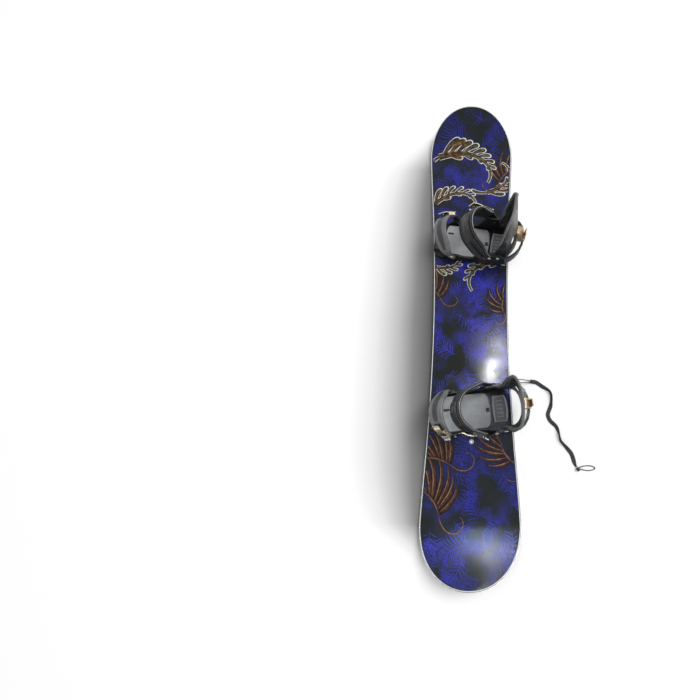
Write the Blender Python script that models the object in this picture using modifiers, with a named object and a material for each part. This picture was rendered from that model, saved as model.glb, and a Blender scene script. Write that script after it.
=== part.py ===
"""Freestyle snowboard with two strap bindings and a wrist leash, in metres, +Z up.

The board lies base down on the floor, pressed flat between its contact lines. The origin is
the middle of the running base, +Y is the nose, and the heel edge with both highbacks is +X.
Each binding is modelled in its own frame: x towards the heel, y towards the nose, z up from
the deck at the middle of its disc. That frame is an empty, set on the board at its angle.
"""
import math

import bmesh
import bpy
from mathutils import Matrix, Vector

# Fits shared by every piece
GAP = 0.0003
CUT_PAST = 0.002

# Board: outline, side profile and layers
BOARD_LENGTH = 1.500
NOSE_WIDTH = 0.285
TAIL_WIDTH = 0.286
WAIST_WIDTH = 0.238
WAIST_PLACE = -0.008
NOSE_WIDEST = 0.590
TAIL_WIDEST = 0.592
TIP_FULLNESS = (2.32, 2.09)
SIDECUT_EASE = 16
CONTACT_TO_TIP = 0.200
NOSE_RISE = 0.060
TAIL_RISE = 0.058
BOARD_THICKNESS = 0.0095
TIP_THICKNESS = 0.0050
FLAT_DECK_HALF = 0.370
TAPER_END = 0.610
BASE_SHEET = 0.0012
TOPSHEET = 0.0008
EDGE_HEIGHT = 0.0020
EDGE_WIDTH = 0.0023
SIDEWALL_WIDTH = 0.0080
SIDEWALL_LEAN = 0.0012

# Where the bindings stand
FRONT_PLACE = 0.258
REAR_PLACE = -0.291
FRONT_ANGLE = math.radians(9)
REAR_ANGLE = math.radians(-6)

# Baseplate, disc and pads
BASE_TOE = -0.118
BASE_HEEL = 0.112
BASE_HALF = 0.062
BASE_FLOOR = 0.0093
BASE_WALL = 0.0050
TOE_CORNER = 0.034
HEEL_CORNER = 0.014
RAIL_TOP = 0.062
DISC_RADIUS = 0.0462
DISC_SLOPE = 0.0065
DISC_HEIGHT = 0.0086
INSERT_PITCH = 0.040
SCREW_SHAFT = 0.0030
SCREW_HEAD = 0.0062
SCREW_REACH = 0.0060
SCREW_SEAT = 0.0040
PAD_HALF = 0.052
FOOTBED_TOE = -0.084
FOOTBED_HEEL = 0.060
FOOTBED_TOP = 0.0155
HEEL_PAD_START = 0.066
HEEL_PAD_END = 0.110
HEEL_PAD_HALF = 0.039
TOE_RAMP_END = -0.116
TOE_RAMP_HALF = 0.040

# Heel loop around the back of the baseplate
LOOP_START = 0.036
LOOP_BEND = 0.100
LOOP_APEX = 0.163
LOOP_THICK = 0.0040
LOOP_FLARE = 0.0055
LOOP_LIP = 0.0025
LOOP_LIP_HEIGHT = 0.0060
LOOP_LIP_FADE = 0.028
LOOP_BACK_TOP = 0.070
LOOP_BACK_LOW = 0.046
LOOP_START_TOP = 0.036
LOOP_ARM_TOP = 0.058
LOOP_ARM_LOW = 0.014
LOOP_SQUARENESS = 2.3

# Highback and its forward-lean adjuster
HIGHBACK_THICK = 0.0035
HIGHBACK_PIVOT = (0.096, 0.047)
WING_FRONT = 0.085
WING_RISE = 0.098
WING_TIP = 0.102
WING_BEND = LOOP_BEND + 0.010
HIGHBACK_SET_IN = 0.0170
HIGHBACK_APEX = LOOP_APEX - HIGHBACK_SET_IN
HIGHBACK_LOW = 0.058
HIGHBACK_TOP = 0.242
HIGHBACK_LEAN = 0.100
LEAN_FROM = 0.070
HIGHBACK_WIDEN = 0.20
WIDEN_FROM = 0.095
WIDEN_TO = 0.150
HIGHBACK_SQUARENESS = 2.2
HIGHBACK_FLATTEN = 0.50
FLATTEN_FROM = 0.080
FLATTEN_TO = 0.200
WING_LOW = 0.037
WING_TOP = 0.057
WING_RISE_TOP = 0.094
WING_EDGE = {1: 0.118, -1: 0.140}
CREST = {1: [(0.0, 1.0), (0.15, 0.92), (0.30, 0.83), (0.43, 0.76), (0.54, 0.735), (0.64, 0.70),
             (0.74, 0.58)],
         -1: [(0.0, 1.0), (0.15, 0.955), (0.30, 0.92), (0.43, 0.90), (0.54, 0.88), (0.64, 0.85),
              (0.74, 0.78)]}
LEAN_HALF = 0.014
LEAN_BACK = LOOP_APEX
LEAN_TOP = 0.106
LEAN_PIVOT = (LOOP_APEX + 0.005, LOOP_BACK_TOP + 0.009)
LEAN_BARREL = 0.0030
LEAN_LEVER_LENGTH = 0.026

# Straps: where they turn, how they rest and how they run
ANKLE_PIVOT = (0.070, 0.048)
TOE_PIVOT = (-0.050, 0.022)
TONGUE_THICK = 0.0030
TONGUE_CLEAR = 0.0004
FRONT_ANKLE_TILT = math.radians(42)
REAR_ANKLE_TILT = math.radians(27)
TOE_TILT = math.radians(58)
FRONT_ANKLE_LEAD = 0.015
REAR_ANKLE_LEAD = 0.028
TOE_LEAD = 0.018
ANKLE_BEND = math.radians(18)
ANKLE_BEND_RADIUS = 0.030
TOE_BEND = math.radians(38)
TOE_BEND_RADIUS = 0.018
ANKLE_SEAT = 0.044
TOE_SEAT = 0.035
ANKLE_PAD_WIDTH = 0.062
ANKLE_PAD_THICK = 0.0100
TOE_PAD_WIDTH = 0.048
TOE_PAD_THICK = 0.0080
PAD_SEAT_FACE = 0.0045
BOLT_HOLE = 0.0033
BOLT_SHAFT = 0.0030
BOLT_HEAD = 0.0062
BOLT_HEAD_HEIGHT = 0.0026

# Ratchet buckle of the ankle strap; the toe strap has the same one, smaller
RATCHET_HALF_LENGTH = 0.0200
RATCHET_BASE = 0.0016
RATCHET_WALL = 0.0022
RATCHET_HEIGHT = 0.0120
LADDER_WIDTH = 0.0250
LADDER_THICK = 0.0025
LADDER_CLEAR = 0.0004
TOOTH_HEIGHT = 0.0010
TOOTH_PITCH = 0.0050
LEVER_PIN = (0.0090, 0.0088)
LEVER_REACH = 0.0500
LEVER_BOSS = 0.0028
RELEASE_PIN = (-0.0120, 0.0080)
RELEASE_REACH = -0.0300
RELEASE_BOSS = 0.0021
PIN_RADIUS = 0.0013
PIN_CLEAR = 0.0003
TOE_RATCHET_SCALE = 0.80

# Leash: routes of its cord and webbing over the floor, point by point
CORD_RADIUS = 0.00125
WEBBING_RADIUS = 0.0025
LEASH_NODE = 4
CORD_CLEAR = 0.0005
HITCH_DOWN = [(0.136, -0.2030, 0.064), (0.153, -0.1980, 0.034), (0.169, -0.1957, 0.0100),
              (0.183, -0.1960, 0.0024)]
HITCH_UP = [(0.183, -0.2005, 0.0024), (0.170, -0.2030, 0.0090), (0.154, -0.2065, 0.029),
            (0.139, -0.2090, 0.047)]
WEBBING_ROUTE = [(0.1847, -0.1983), (0.197, -0.2005), (0.218, -0.215), (0.238, -0.230),
                 (0.2415, -0.250), (0.238, -0.275), (0.230, -0.297), (0.236, -0.316),
                 (0.252, -0.333), (0.259, -0.355), (0.263, -0.374), (0.276, -0.390),
                 (0.292, -0.410), (0.2975, -0.427), (0.3008, -0.4405), (0.3049, -0.4479)]
KNOT_PLACE = (0.3080, -0.4535, 0.0050)
KNOT_RADIUS = 0.0046
KNOT_LENGTH = 0.0120
KNOT_TURN = math.radians(-61)
END_LOOP_ROUTE = [(0.3117, -0.4498, 0.0040), (0.3160, -0.4476, 0.0026), (0.326, -0.4450, 0.0015),
                  (0.342, -0.4442, 0.0015), (0.354, -0.4470, 0.0015), (0.3575, -0.4515, 0.0015),
                  (0.352, -0.4552, 0.0015), (0.338, -0.4575, 0.0015), (0.325, -0.4558, 0.0015),
                  (0.3182, -0.4535, 0.0026), (0.3134, -0.4530, 0.0040)]

# Start from an empty scene
for old in list(bpy.data.objects):
    bpy.data.objects.remove(old, do_unlink=True)
parts = bpy.data.collections.new("snowboard")
cutters = bpy.data.collections.new("cutters")
guides = bpy.data.collections.new("axes")
for group in (parts, cutters, guides):
    bpy.context.scene.collection.children.link(group)


def material(name, colour, roughness, metallic=0.0):
    """A plain Principled material."""
    made = bpy.data.materials.new(name)
    made.use_nodes = True
    shader = made.node_tree.nodes["Principled BSDF"]
    shader.inputs["Base Color"].default_value = (*colour, 1.0)
    shader.inputs["Roughness"].default_value = roughness
    shader.inputs["Metallic"].default_value = metallic
    return made


LACQUER = (0.030, 0.030, 0.200)
NYLON = (0.030, 0.031, 0.034)
GREY_FOAM = (0.150, 0.155, 0.165)
WEBBED_GREY = (0.080, 0.082, 0.088)
GILT = (0.620, 0.480, 0.270)


def axis_empty(name, matrix, parent=None):
    """An empty that carries a frame: a binding, or the axis of a joint."""
    empty = bpy.data.objects.new(name, None)
    empty.parent = parent
    empty.matrix_local = matrix
    guides.objects.link(empty)
    return empty


def add_part(name, mesh, parent, colour, roughness, metallic=0.0, smooth_angle=30):
    """Link a mesh as a finished sub-part with its own material."""
    mesh.name = name
    part = bpy.data.objects.new(name, mesh)
    part.parent = parent
    mesh.materials.clear()
    mesh.materials.append(material(name + "_finish", colour, roughness, metallic))
    mesh.shade_smooth()
    mesh.set_sharp_from_angle(angle=math.radians(smooth_angle))
    parts.objects.link(part)
    return part


def add_cutter(name, mesh, parent=None):
    """Link a mesh that only cuts or joins."""
    cutter = bpy.data.objects.new(name, mesh)
    cutter.parent = parent
    cutter.display_type = "WIRE"
    cutter.hide_render = True
    cutters.objects.link(cutter)
    return cutter


def boolean(part, other, operation):
    """Cut `other` from the part, or join it to the part."""
    step = part.modifiers.new(other.name, "BOOLEAN")
    step.operation = operation
    step.solver = "EXACT"
    step.object = other


def mesh_from_bmesh(shape):
    """Turn a bmesh into a mesh with its faces pointing out."""
    bmesh.ops.recalc_face_normals(shape, faces=shape.faces)
    if shape.calc_volume(signed=True) < 0.0:
        bmesh.ops.reverse_faces(shape, faces=shape.faces)
    mesh = bpy.data.meshes.new("shape")
    shape.to_mesh(mesh)
    shape.free()
    return mesh


def loft(sections, ring=False):
    """Skin a list of like sections; a ring closes on itself, else both ends are capped."""
    shape = bmesh.new()
    rows = [[shape.verts.new(point) for point in section] for section in sections]
    count = len(rows[0])
    pairs = list(zip(rows, rows[1:]))
    if ring:
        pairs.append((rows[-1], rows[0]))
    for row, after in pairs:
        for i in range(count):
            j = (i + 1) % count
            shape.faces.new((row[i], row[j], after[j], after[i]))
    if not ring:
        shape.faces.new(rows[0])
        shape.faces.new(rows[-1])
    return mesh_from_bmesh(shape)


def curve_to_mesh(curve, matrix):
    """Evaluate a curve as a welded mesh, set by a matrix."""
    holder = bpy.data.objects.new("curve", curve)
    guides.objects.link(holder)
    graph = bpy.context.evaluated_depsgraph_get()
    mesh = bpy.data.meshes.new_from_object(holder.evaluated_get(graph))
    bpy.data.objects.remove(holder, do_unlink=True)
    shape = bmesh.new()
    shape.from_mesh(mesh)
    bmesh.ops.remove_doubles(shape, verts=shape.verts, dist=0.00001)
    shape.transform(matrix)
    return mesh_from_bmesh(shape)


def plate(outline, low, high, matrix=None):
    """A flat outline extruded from low to high along its own Z."""
    curve = bpy.data.curves.new("outline", "CURVE")
    curve.dimensions = "2D"
    curve.fill_mode = "BOTH"
    curve.extrude = (high - low) / 2
    line = curve.splines.new("POLY")
    line.points.add(len(outline) - 1)
    for point, (x, y) in zip(line.points, outline):
        point.co = (x, y, 0.0, 1.0)
    line.use_cyclic_u = True
    lift = Matrix.Translation((0.0, 0.0, (high + low) / 2))
    return curve_to_mesh(curve, (matrix or Matrix.Identity(4)) @ lift)


# Stands a flat outline up: its x stays, its y becomes z, and its thickness runs along y
SIDEWAYS = Matrix.Rotation(math.radians(90), 4, "X")


def drum(radius, low, high, sides=16, top_radius=None, matrix=None):
    """A round plug along Z."""
    shape = bmesh.new()
    bmesh.ops.create_cone(shape, cap_ends=True, segments=sides, radius1=radius,
                          radius2=radius if top_radius is None else top_radius,
                          depth=high - low,
                          matrix=Matrix.Translation((0.0, 0.0, (high + low) / 2)))
    if matrix is not None:
        shape.transform(matrix)
    return mesh_from_bmesh(shape)


def tube_object(name, points, radius, colour, roughness):
    """A cord as a curve object with a round bevel and filled caps."""
    curve = bpy.data.curves.new(name, "CURVE")
    curve.dimensions = "3D"
    curve.bevel_depth = radius
    curve.bevel_resolution = 2
    curve.use_fill_caps = True
    line = curve.splines.new("POLY")
    line.points.add(len(points) - 1)
    for point, place in zip(line.points, points):
        point.co = (*place, 1.0)
    cord = bpy.data.objects.new(name, curve)
    curve.materials.append(material(name + "_finish", colour, roughness))
    parts.objects.link(cord)
    return cord


def smooth_route(points, step):
    """Points every `step` along a smooth curve through the route's own points."""
    ends = [2 * points[0] - points[1], *points, 2 * points[-1] - points[-2]]
    fine = []
    for a, b, c, d in zip(ends, ends[1:], ends[2:], ends[3:]):
        pieces = max(1, round((c - b).length / step))
        for i in range(pieces):
            t = i / pieces
            fine.append(0.5 * (2 * b + (c - a) * t + (2 * a - 5 * b + 4 * c - d) * t ** 2
                               + (3 * b - a - 3 * c + d) * t ** 3))
    fine.append(points[-1])
    return fine


def ease(value, start, end):
    """0 before start, 1 after end, and a smooth step between."""
    t = min(1.0, max(0.0, (value - start) / (end - start)))
    return t * t * (3.0 - 2.0 * t)


def through(points, value):
    """Height of a smooth line through (place, height) points at a place."""
    for (x0, y0), (x1, y1) in zip(points, points[1:]):
        if value <= x1:
            return y0 + (y1 - y0) * ease(value, x0, x1)
    return points[-1][1]


# The board's shape as functions of the place along it
def half_width(y):
    """Half the board's width at y."""
    widest, width, side = (NOSE_WIDEST, NOSE_WIDTH, 1) if y > WAIST_PLACE \
        else (TAIL_WIDEST, TAIL_WIDTH, -1)
    if abs(y) <= widest:
        share = (side * (y - WAIST_PLACE)) / (widest - side * WAIST_PLACE)
        curve = (SIDECUT_EASE * share ** 2 - 2 * share ** SIDECUT_EASE) / (SIDECUT_EASE - 2)
        return 0.5 * (WAIST_WIDTH + (width - WAIST_WIDTH) * curve)
    share = min(1.0, (abs(y) - widest) / (BOARD_LENGTH / 2 - widest))
    power, root = TIP_FULLNESS
    return 0.5 * width * (1.0 - share ** power) ** (1.0 / root)


def base_height(y):
    """Height of the running surface: flat between the contact lines, then curving up."""
    contact = BOARD_LENGTH / 2 - CONTACT_TO_TIP
    rise = NOSE_RISE if y > 0 else TAIL_RISE
    return rise * max(0.0, (abs(y) - contact) / CONTACT_TO_TIP) ** 2


def thickness(y):
    """Whole thickness of the board at y."""
    return BOARD_THICKNESS + (TIP_THICKNESS - BOARD_THICKNESS) * ease(
        abs(y), FLAT_DECK_HALF, TAPER_END)


def stations():
    """Places along the board from tail to nose, closer together in the tips."""
    tip_angles = [math.radians(a) for a in (12, 24, 35, 46, 56, 65, 73, 80, 85, 88.5)]
    tail = [-TAIL_WIDEST - (BOARD_LENGTH / 2 - TAIL_WIDEST) * math.sin(a) for a in tip_angles]
    nose = [NOSE_WIDEST + (BOARD_LENGTH / 2 - NOSE_WIDEST) * math.sin(a) for a in tip_angles]
    count = 13
    middle = [-TAIL_WIDEST + (NOSE_WIDEST + TAIL_WIDEST) * i / count for i in range(count + 1)]
    return tail[::-1] + middle + nose


def edge_points(inset):
    """The heel edge's outline from tail to nose, moved in by `inset`."""
    line = [Vector((half_width(y), y)) for y in stations()]
    moved = []
    for i, point in enumerate(line):
        before = line[max(0, i - 1)]
        after = line[min(len(line) - 1, i + 1)]
        along = (after - before).normalized()
        place = point - inset * Vector((along.y, -along.x))
        moved.append(Vector((max(place.x, 0.0004), place.y)))
    return moved


def slab(bottom_inset, top_inset, bottom, top):
    """A layer of the board; bottom and top are heights over the running surface at y."""
    sections = []
    for low, high in zip(edge_points(bottom_inset), edge_points(top_inset)):
        low_z = base_height(low.y) + bottom(low.y)
        high_z = base_height(high.y) + top(high.y)
        sections.append([(-low.x, low.y, low_z), (low.x, low.y, low_z),
                         (high.x, high.y, high_z), (-high.x, high.y, high_z)])
    return loft(sections)


def rim(outer_low, outer_high, inner, bottom, top):
    """A ring of one layer all round the board."""
    columns = []
    for inset, level in ((outer_low, bottom), (outer_high, top), (inner, top), (inner, bottom)):
        heel = edge_points(inset)
        loop = [(p.x, p.y) for p in heel] + [(-p.x, p.y) for p in reversed(heel)]
        columns.append([(x, y, base_height(y) + level(y)) for x, y in loop])
    return loft([list(section) for section in zip(*columns)], ring=True)


def build_board():
    """Base, steel edge, sidewall, core and topsheet, glued up in that order."""
    deck_under = lambda y: thickness(y) - TOPSHEET
    core_top = lambda y: thickness(y) - TOPSHEET - GAP
    add_part("base_sheet",
             slab(EDGE_WIDTH + GAP, EDGE_WIDTH + GAP, lambda y: 0.0, lambda y: BASE_SHEET),
             None, (0.02, 0.02, 0.022), 0.35)
    add_part("steel_edge",
             rim(0.0, 0.0, EDGE_WIDTH, lambda y: 0.0, lambda y: EDGE_HEIGHT),
             None, (0.55, 0.56, 0.58), 0.3, 1.0)
    add_part("sidewall",
             rim(0.0002, SIDEWALL_LEAN, SIDEWALL_WIDTH, lambda y: EDGE_HEIGHT + GAP, core_top),
             None, (0.75, 0.75, 0.73), 0.4)
    core = add_part("wood_core",
                    slab(SIDEWALL_WIDTH + GAP, SIDEWALL_WIDTH + GAP,
                         lambda y: BASE_SHEET + GAP, core_top),
                    None, (0.45, 0.30, 0.17), 0.6)
    deck = add_part("topsheet",
                    slab(SIDEWALL_LEAN, SIDEWALL_LEAN + TOPSHEET, deck_under, thickness),
                    None, LACQUER, 0.12)
    return core, deck


def arch(lead, bend, bend_radius, seat, half):
    """A strap's path: lead, bend, buckle seat, round crown, and the same back down.

    Each leg is (length, turn). The path starts at the outer pivot, at y = half.
    """
    drop = bend_radius * (1 - math.cos(bend)) + seat * math.sin(bend)
    crown_radius = (half - drop) / math.cos(bend)
    turn = math.pi - 2 * bend
    side = [(lead, 0.0), (bend_radius * bend, bend), (seat, 0.0)]
    return side + [(crown_radius * turn, turn)] + side[::-1]


def arch_point(legs, half, distance):
    """Place and heading at a distance along a strap's path."""
    x, y, heading = 0.0, half, 0.0
    if distance < 0.0:
        return distance, half, 0.0
    for length, turn in legs:
        part = min(length, distance)
        if turn == 0.0:
            x += part * math.cos(heading)
            y -= part * math.sin(heading)
        else:
            radius = length / turn
            end = heading + turn * part / length
            x += radius * (math.sin(end) - math.sin(heading))
            y -= radius * (math.cos(heading) - math.cos(end))
            heading = end
        distance -= part
        if distance <= 1e-9:
            break
    if distance > 1e-9:
        x += distance * math.cos(heading)
        y -= distance * math.sin(heading)
    return x, y, heading


def arch_stops(legs, arc_step=math.radians(13)):
    """Distances where a strap's path needs a section: leg ends, and steps in the arcs."""
    stops = [0.0]
    for length, turn in legs:
        pieces = max(1, math.ceil(abs(turn) / arc_step)) if turn else 2
        start = stops[-1]
        stops += [start + length * (i + 1) / pieces for i in range(pieces)]
    return stops


def strap_section(legs, half, side, distance, offset, thick, width):
    """Chamfered section of a strap, square to its path."""
    x, y, heading = arch_point(legs, half, distance)
    normal = Vector((math.sin(heading), math.cos(heading) * side, 0.0))
    centre = Vector((x, y * side, 0.0)) + normal * offset
    across = Vector((0.0, 0.0, 1.0))
    a, b, c = thick / 2, width / 2, min(thick, width) * 0.30
    corners = [(-a, -b + c), (-a + c, -b), (a - c, -b), (a, -b + c),
               (a, b - c), (a - c, b), (-a + c, b), (-a, b - c)]
    return [centre + normal * n + across * w for n, w in corners]


def cross_hole(part, parent, u, z, radius, low, high, name):
    """Drill a round hole along y at (u, z)."""
    drill = drum(radius, low, high, 10, matrix=Matrix.Translation((u, 0.0, z)) @ SIDEWAYS)
    boolean(part, add_cutter(name, drill, parent), "DIFFERENCE")


def bolt(name, parent, place, side, length, colour=GILT):
    """A domed bolt along y: head outside at `place`, shaft pointing in."""
    dome = BOLT_HEAD_HEIGHT
    profile = [(0.0, dome), (BOLT_HEAD * 0.55, dome * 0.92), (BOLT_HEAD * 0.9, dome * 0.55),
               (BOLT_HEAD, 0.0), (BOLT_SHAFT, 0.0), (BOLT_SHAFT, -length), (0.0, -length)]
    shape = bmesh.new()
    verts = [shape.verts.new((r, 0.0, z)) for r, z in profile]
    for a, b in zip(verts, verts[1:]):
        shape.edges.new((a, b))
    mesh = bpy.data.meshes.new(name)
    shape.to_mesh(mesh)
    shape.free()
    made = bpy.data.objects.new(name, mesh)
    made.parent = parent
    turn = Matrix.Rotation(math.radians(-90 * side), 4, "X")
    made.matrix_local = Matrix.Translation(place) @ turn
    mesh.materials.append(material(name + "_finish", colour, 0.3, 1.0))
    spin = made.modifiers.new("turn", "SCREW")
    spin.angle = math.tau
    spin.steps = 10
    spin.render_steps = 10
    spin.use_merge_vertices = True
    spin.merge_threshold = 0.00001
    parts.objects.link(made)
    return made


def rail_height(u):
    """Top edge of the baseplate's side rails."""
    return through([(BASE_TOE, 0.0094), (-0.086, 0.0098), (-0.061, 0.030), (-0.038, 0.030),
                    (0.006, 0.019), (0.050, RAIL_TOP), (BASE_HEEL - 0.010, RAIL_TOP),
                    (BASE_HEEL, RAIL_TOP - 0.012)],
                   u)


def rounded_plan(toe, heel, half, toe_corner, heel_corner):
    """Plan outline with round corners at the toe and the heel."""
    outline = []
    for cx, cy, radius, start in (
            (heel - heel_corner, half - heel_corner, heel_corner, 0),
            (toe + toe_corner, half - toe_corner, toe_corner, 90),
            (toe + toe_corner, -half + toe_corner, toe_corner, 180),
            (heel - heel_corner, -half + heel_corner, heel_corner, 270)):
        pieces = 4 if radius > 0.010 else 2
        for i in range(pieces + 1):
            angle = math.radians(start + 90 * i / pieces)
            outline.append((cx + radius * math.cos(angle), cy + radius * math.sin(angle)))
    return outline


def build_baseplate(tag, frame):
    """Moulded tray: floor with a cone seat for the disc, and rails that rise to the pivots."""
    tray = add_part(tag + "_baseplate",
                    plate(rounded_plan(BASE_TOE, BASE_HEEL, BASE_HALF, TOE_CORNER, HEEL_CORNER),
                          GAP, RAIL_TOP + 0.001),
                    frame, NYLON, 0.42)
    inner = BASE_HALF - BASE_WALL
    pocket = plate(rounded_plan(BASE_TOE + BASE_WALL, BASE_HEEL + 0.040, inner,
                                TOE_CORNER - BASE_WALL, 0.004),
                   BASE_FLOOR, RAIL_TOP + 0.010)
    boolean(tray, add_cutter(tag + "_base_pocket", pocket, frame), "DIFFERENCE")
    places = [BASE_TOE - 0.010 + 0.012 * i for i in range(21)]
    over = [(u, max(rail_height(u), 0.0094)) for u in places]
    over += [(places[-1], RAIL_TOP + 0.020), (places[0], RAIL_TOP + 0.020)]
    trim = plate(over, -BASE_HALF - 0.010, BASE_HALF + 0.010, SIDEWAYS)
    boolean(tray, add_cutter(tag + "_rail_trim", trim, frame), "DIFFERENCE")
    seat = drum(DISC_RADIUS - DISC_SLOPE + GAP, GAP - CUT_PAST, BASE_FLOOR + CUT_PAST, 24,
                DISC_RADIUS + 2 * GAP + 0.0012)
    boolean(tray, add_cutter(tag + "_disc_seat", seat, frame), "DIFFERENCE")
    cross_hole(tray, frame, *ANKLE_PIVOT, BOLT_HOLE, -0.08, 0.08, tag + "_ankle_drill")
    cross_hole(tray, frame, *HIGHBACK_PIVOT, BOLT_HOLE, -0.08, 0.08, tag + "_highback_drill")
    cross_hole(tray, frame, *TOE_PIVOT, BOLT_HOLE, -0.08, 0.08, tag + "_toe_drill")
    return tray


def build_disc(tag, frame, core, deck):
    """Cone disc with its four screws, which reach down into the board."""
    disc = add_part(tag + "_disc",
                    drum(DISC_RADIUS - DISC_SLOPE, 2 * GAP, DISC_HEIGHT, 24, DISC_RADIUS),
                    frame, (0.06, 0.06, 0.065), 0.45)
    half = INSERT_PITCH / 2
    for i, (x, y) in enumerate(((half, half), (half, -half), (-half, half), (-half, -half))):
        at = Matrix.Translation((x, y, 0.0))
        well = drum(SCREW_HEAD + 0.0015, SCREW_SEAT, DISC_HEIGHT + CUT_PAST, 8, matrix=at)
        boolean(disc, add_cutter("%s_screw_well_%d" % (tag, i), well, frame), "DIFFERENCE")
        head = drum(SCREW_HEAD, SCREW_SEAT - 0.0005, SCREW_SEAT + 0.0030, 6, matrix=at)
        boolean(disc, add_cutter("%s_screw_head_%d" % (tag, i), head, frame), "UNION")
        shaft = drum(SCREW_SHAFT, -SCREW_REACH, SCREW_SEAT + 0.001, 6, matrix=at)
        boolean(disc, add_cutter("%s_screw_shaft_%d" % (tag, i), shaft, frame), "UNION")
        bore = drum(SCREW_SHAFT + GAP, -SCREW_REACH - 0.0005, CUT_PAST, 6, matrix=at)
        bore_cutter = add_cutter("%s_insert_%d" % (tag, i), bore, frame)
        boolean(core, bore_cutter, "DIFFERENCE")
        boolean(deck, bore_cutter, "DIFFERENCE")


def build_pads(tag, frame, side):
    """Footbed, heel pad and toe ramp, the cushions that the boot stands on."""
    low = BASE_FLOOR + GAP
    outline = rounded_plan(FOOTBED_TOE, FOOTBED_HEEL, PAD_HALF, 0.010, 0.022)
    footbed = add_part(tag + "_footbed", plate(outline, low, FOOTBED_TOP), frame,
                       GREY_FOAM, 0.7)
    slot = plate(rounded_plan(-0.009, 0.009, 0.0035, 0.0034, 0.0034), low - CUT_PAST,
                 FOOTBED_TOP + CUT_PAST, Matrix.Translation((-0.068, -0.012 * side, 0.0)))
    boolean(footbed, add_cutter(tag + "_footbed_slot", slot, frame), "DIFFERENCE")
    notch = plate([(-0.006, -0.006), (0.012, -0.006), (0.012, 0.006), (-0.006, 0.006)],
                  FOOTBED_TOP - 0.002, FOOTBED_TOP + CUT_PAST,
                  Matrix.Translation((FOOTBED_HEEL - 0.006, 0.0, 0.0)))
    boolean(footbed, add_cutter(tag + "_footbed_notch", notch, frame), "DIFFERENCE")

    dish = [(HEEL_PAD_START, low), (HEEL_PAD_START, 0.0195), (0.069, 0.0210),
            (0.076, 0.0185), (0.086, 0.0172), (0.096, 0.0180), (0.104, 0.0215),
            (0.108, 0.0235), (HEEL_PAD_END, 0.0225), (HEEL_PAD_END, low)]
    add_part(tag + "_heel_pad", plate(dish, -HEEL_PAD_HALF, HEEL_PAD_HALF, SIDEWAYS),
             frame, GREY_FOAM, 0.7)

    ramp = [(FOOTBED_TOE - 0.003, low), (FOOTBED_TOE - 0.003, FOOTBED_TOP), (-0.098, 0.0180),
            (-0.109, 0.0205), (-0.114, 0.0200), (TOE_RAMP_END, 0.0170), (TOE_RAMP_END, low)]
    add_part(tag + "_toe_ramp", plate(ramp, -TOE_RAMP_HALF, TOE_RAMP_HALF, SIDEWAYS),
             frame, (0.060, 0.061, 0.065), 0.6)


def loop_plan(arm, bend, apex, half, squareness, flare=0.0):
    """Plan path round the heel: a straight arm, then a squarish round to the apex."""
    path = [(x, half) for x in arm] + [(bend, half)]
    for degrees in (14, 29, 44, 60, 76, 90):
        angle = math.radians(degrees)
        x = bend + (apex - bend) * math.sin(angle) ** (2 / squareness)
        path.append((x, (half + flare) * max(0.0, math.cos(angle)) ** (2 / squareness)))
    path[-1] = (apex, 0.0)
    return path + [(x, -y) for x, y in path[-2::-1]]


def normals(path):
    """Outward unit normals of a plan path that runs from +y to -y round the heel."""
    out = []
    for i in range(len(path)):
        a = Vector(path[max(0, i - 1)])
        b = Vector(path[min(len(path) - 1, i + 1)])
        along = (b - a).normalized()
        out.append(Vector((-along.y, along.x)))
    return out


def heel_loop_plan():
    """Middle line of the heel loop in plan."""
    arm = (LOOP_START, LOOP_START + 0.55 * (LOOP_BEND - LOOP_START))
    half = BASE_HALF + GAP + LOOP_THICK / 2
    return loop_plan(arm, LOOP_BEND, LOOP_APEX, half, LOOP_SQUARENESS, LOOP_FLARE)


def loop_edges(u):
    """Lower and upper edge of the heel loop at a place along the binding."""
    low = through([(LOOP_START, LOOP_ARM_LOW), (LOOP_BEND - 0.020, LOOP_ARM_LOW + 0.002),
                   (LOOP_APEX, LOOP_BACK_LOW)], u)
    top = through([(LOOP_START, LOOP_START_TOP), (LOOP_START + 0.024, LOOP_ARM_TOP),
                   (LOOP_BEND, LOOP_ARM_TOP), (LOOP_APEX, LOOP_BACK_TOP)], u)
    return low, top


def build_heel_loop(tag, frame):
    """Stiff band round the heel with a rolled rim, bolted outside the rails."""
    path = heel_loop_plan()
    half = LOOP_THICK / 2
    sections = []
    for (u, v), normal in zip(path, normals(path)):
        low, top = loop_edges(u)
        lip = LOOP_LIP * ease(u, LOOP_BEND, LOOP_BEND + LOOP_LIP_FADE) + 0.0004
        shape = [(-half, low), (half, low), (half, top - LOOP_LIP_HEIGHT),
                 (half + lip, top - 0.7 * LOOP_LIP_HEIGHT), (half + lip, top - 0.001),
                 (half + lip - 0.0004, top), (-half, top)]
        sections.append([(u + normal.x * o, v + normal.y * o, z) for o, z in shape])
    band = add_part(tag + "_heel_loop", loft(sections), frame, NYLON, 0.35)
    cross_hole(band, frame, *ANKLE_PIVOT, BOLT_HOLE, -0.08, 0.08, tag + "_loop_ankle_drill")
    cross_hole(band, frame, *HIGHBACK_PIVOT, BOLT_HOLE, -0.08, 0.08, tag + "_loop_back_drill")


def highback_outer(z):
    """Outer face of the highback on its middle line, at height z."""
    return HIGHBACK_APEX - HIGHBACK_LEAN * max(0.0, z - LEAN_FROM) + HIGHBACK_THICK / 2


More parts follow.
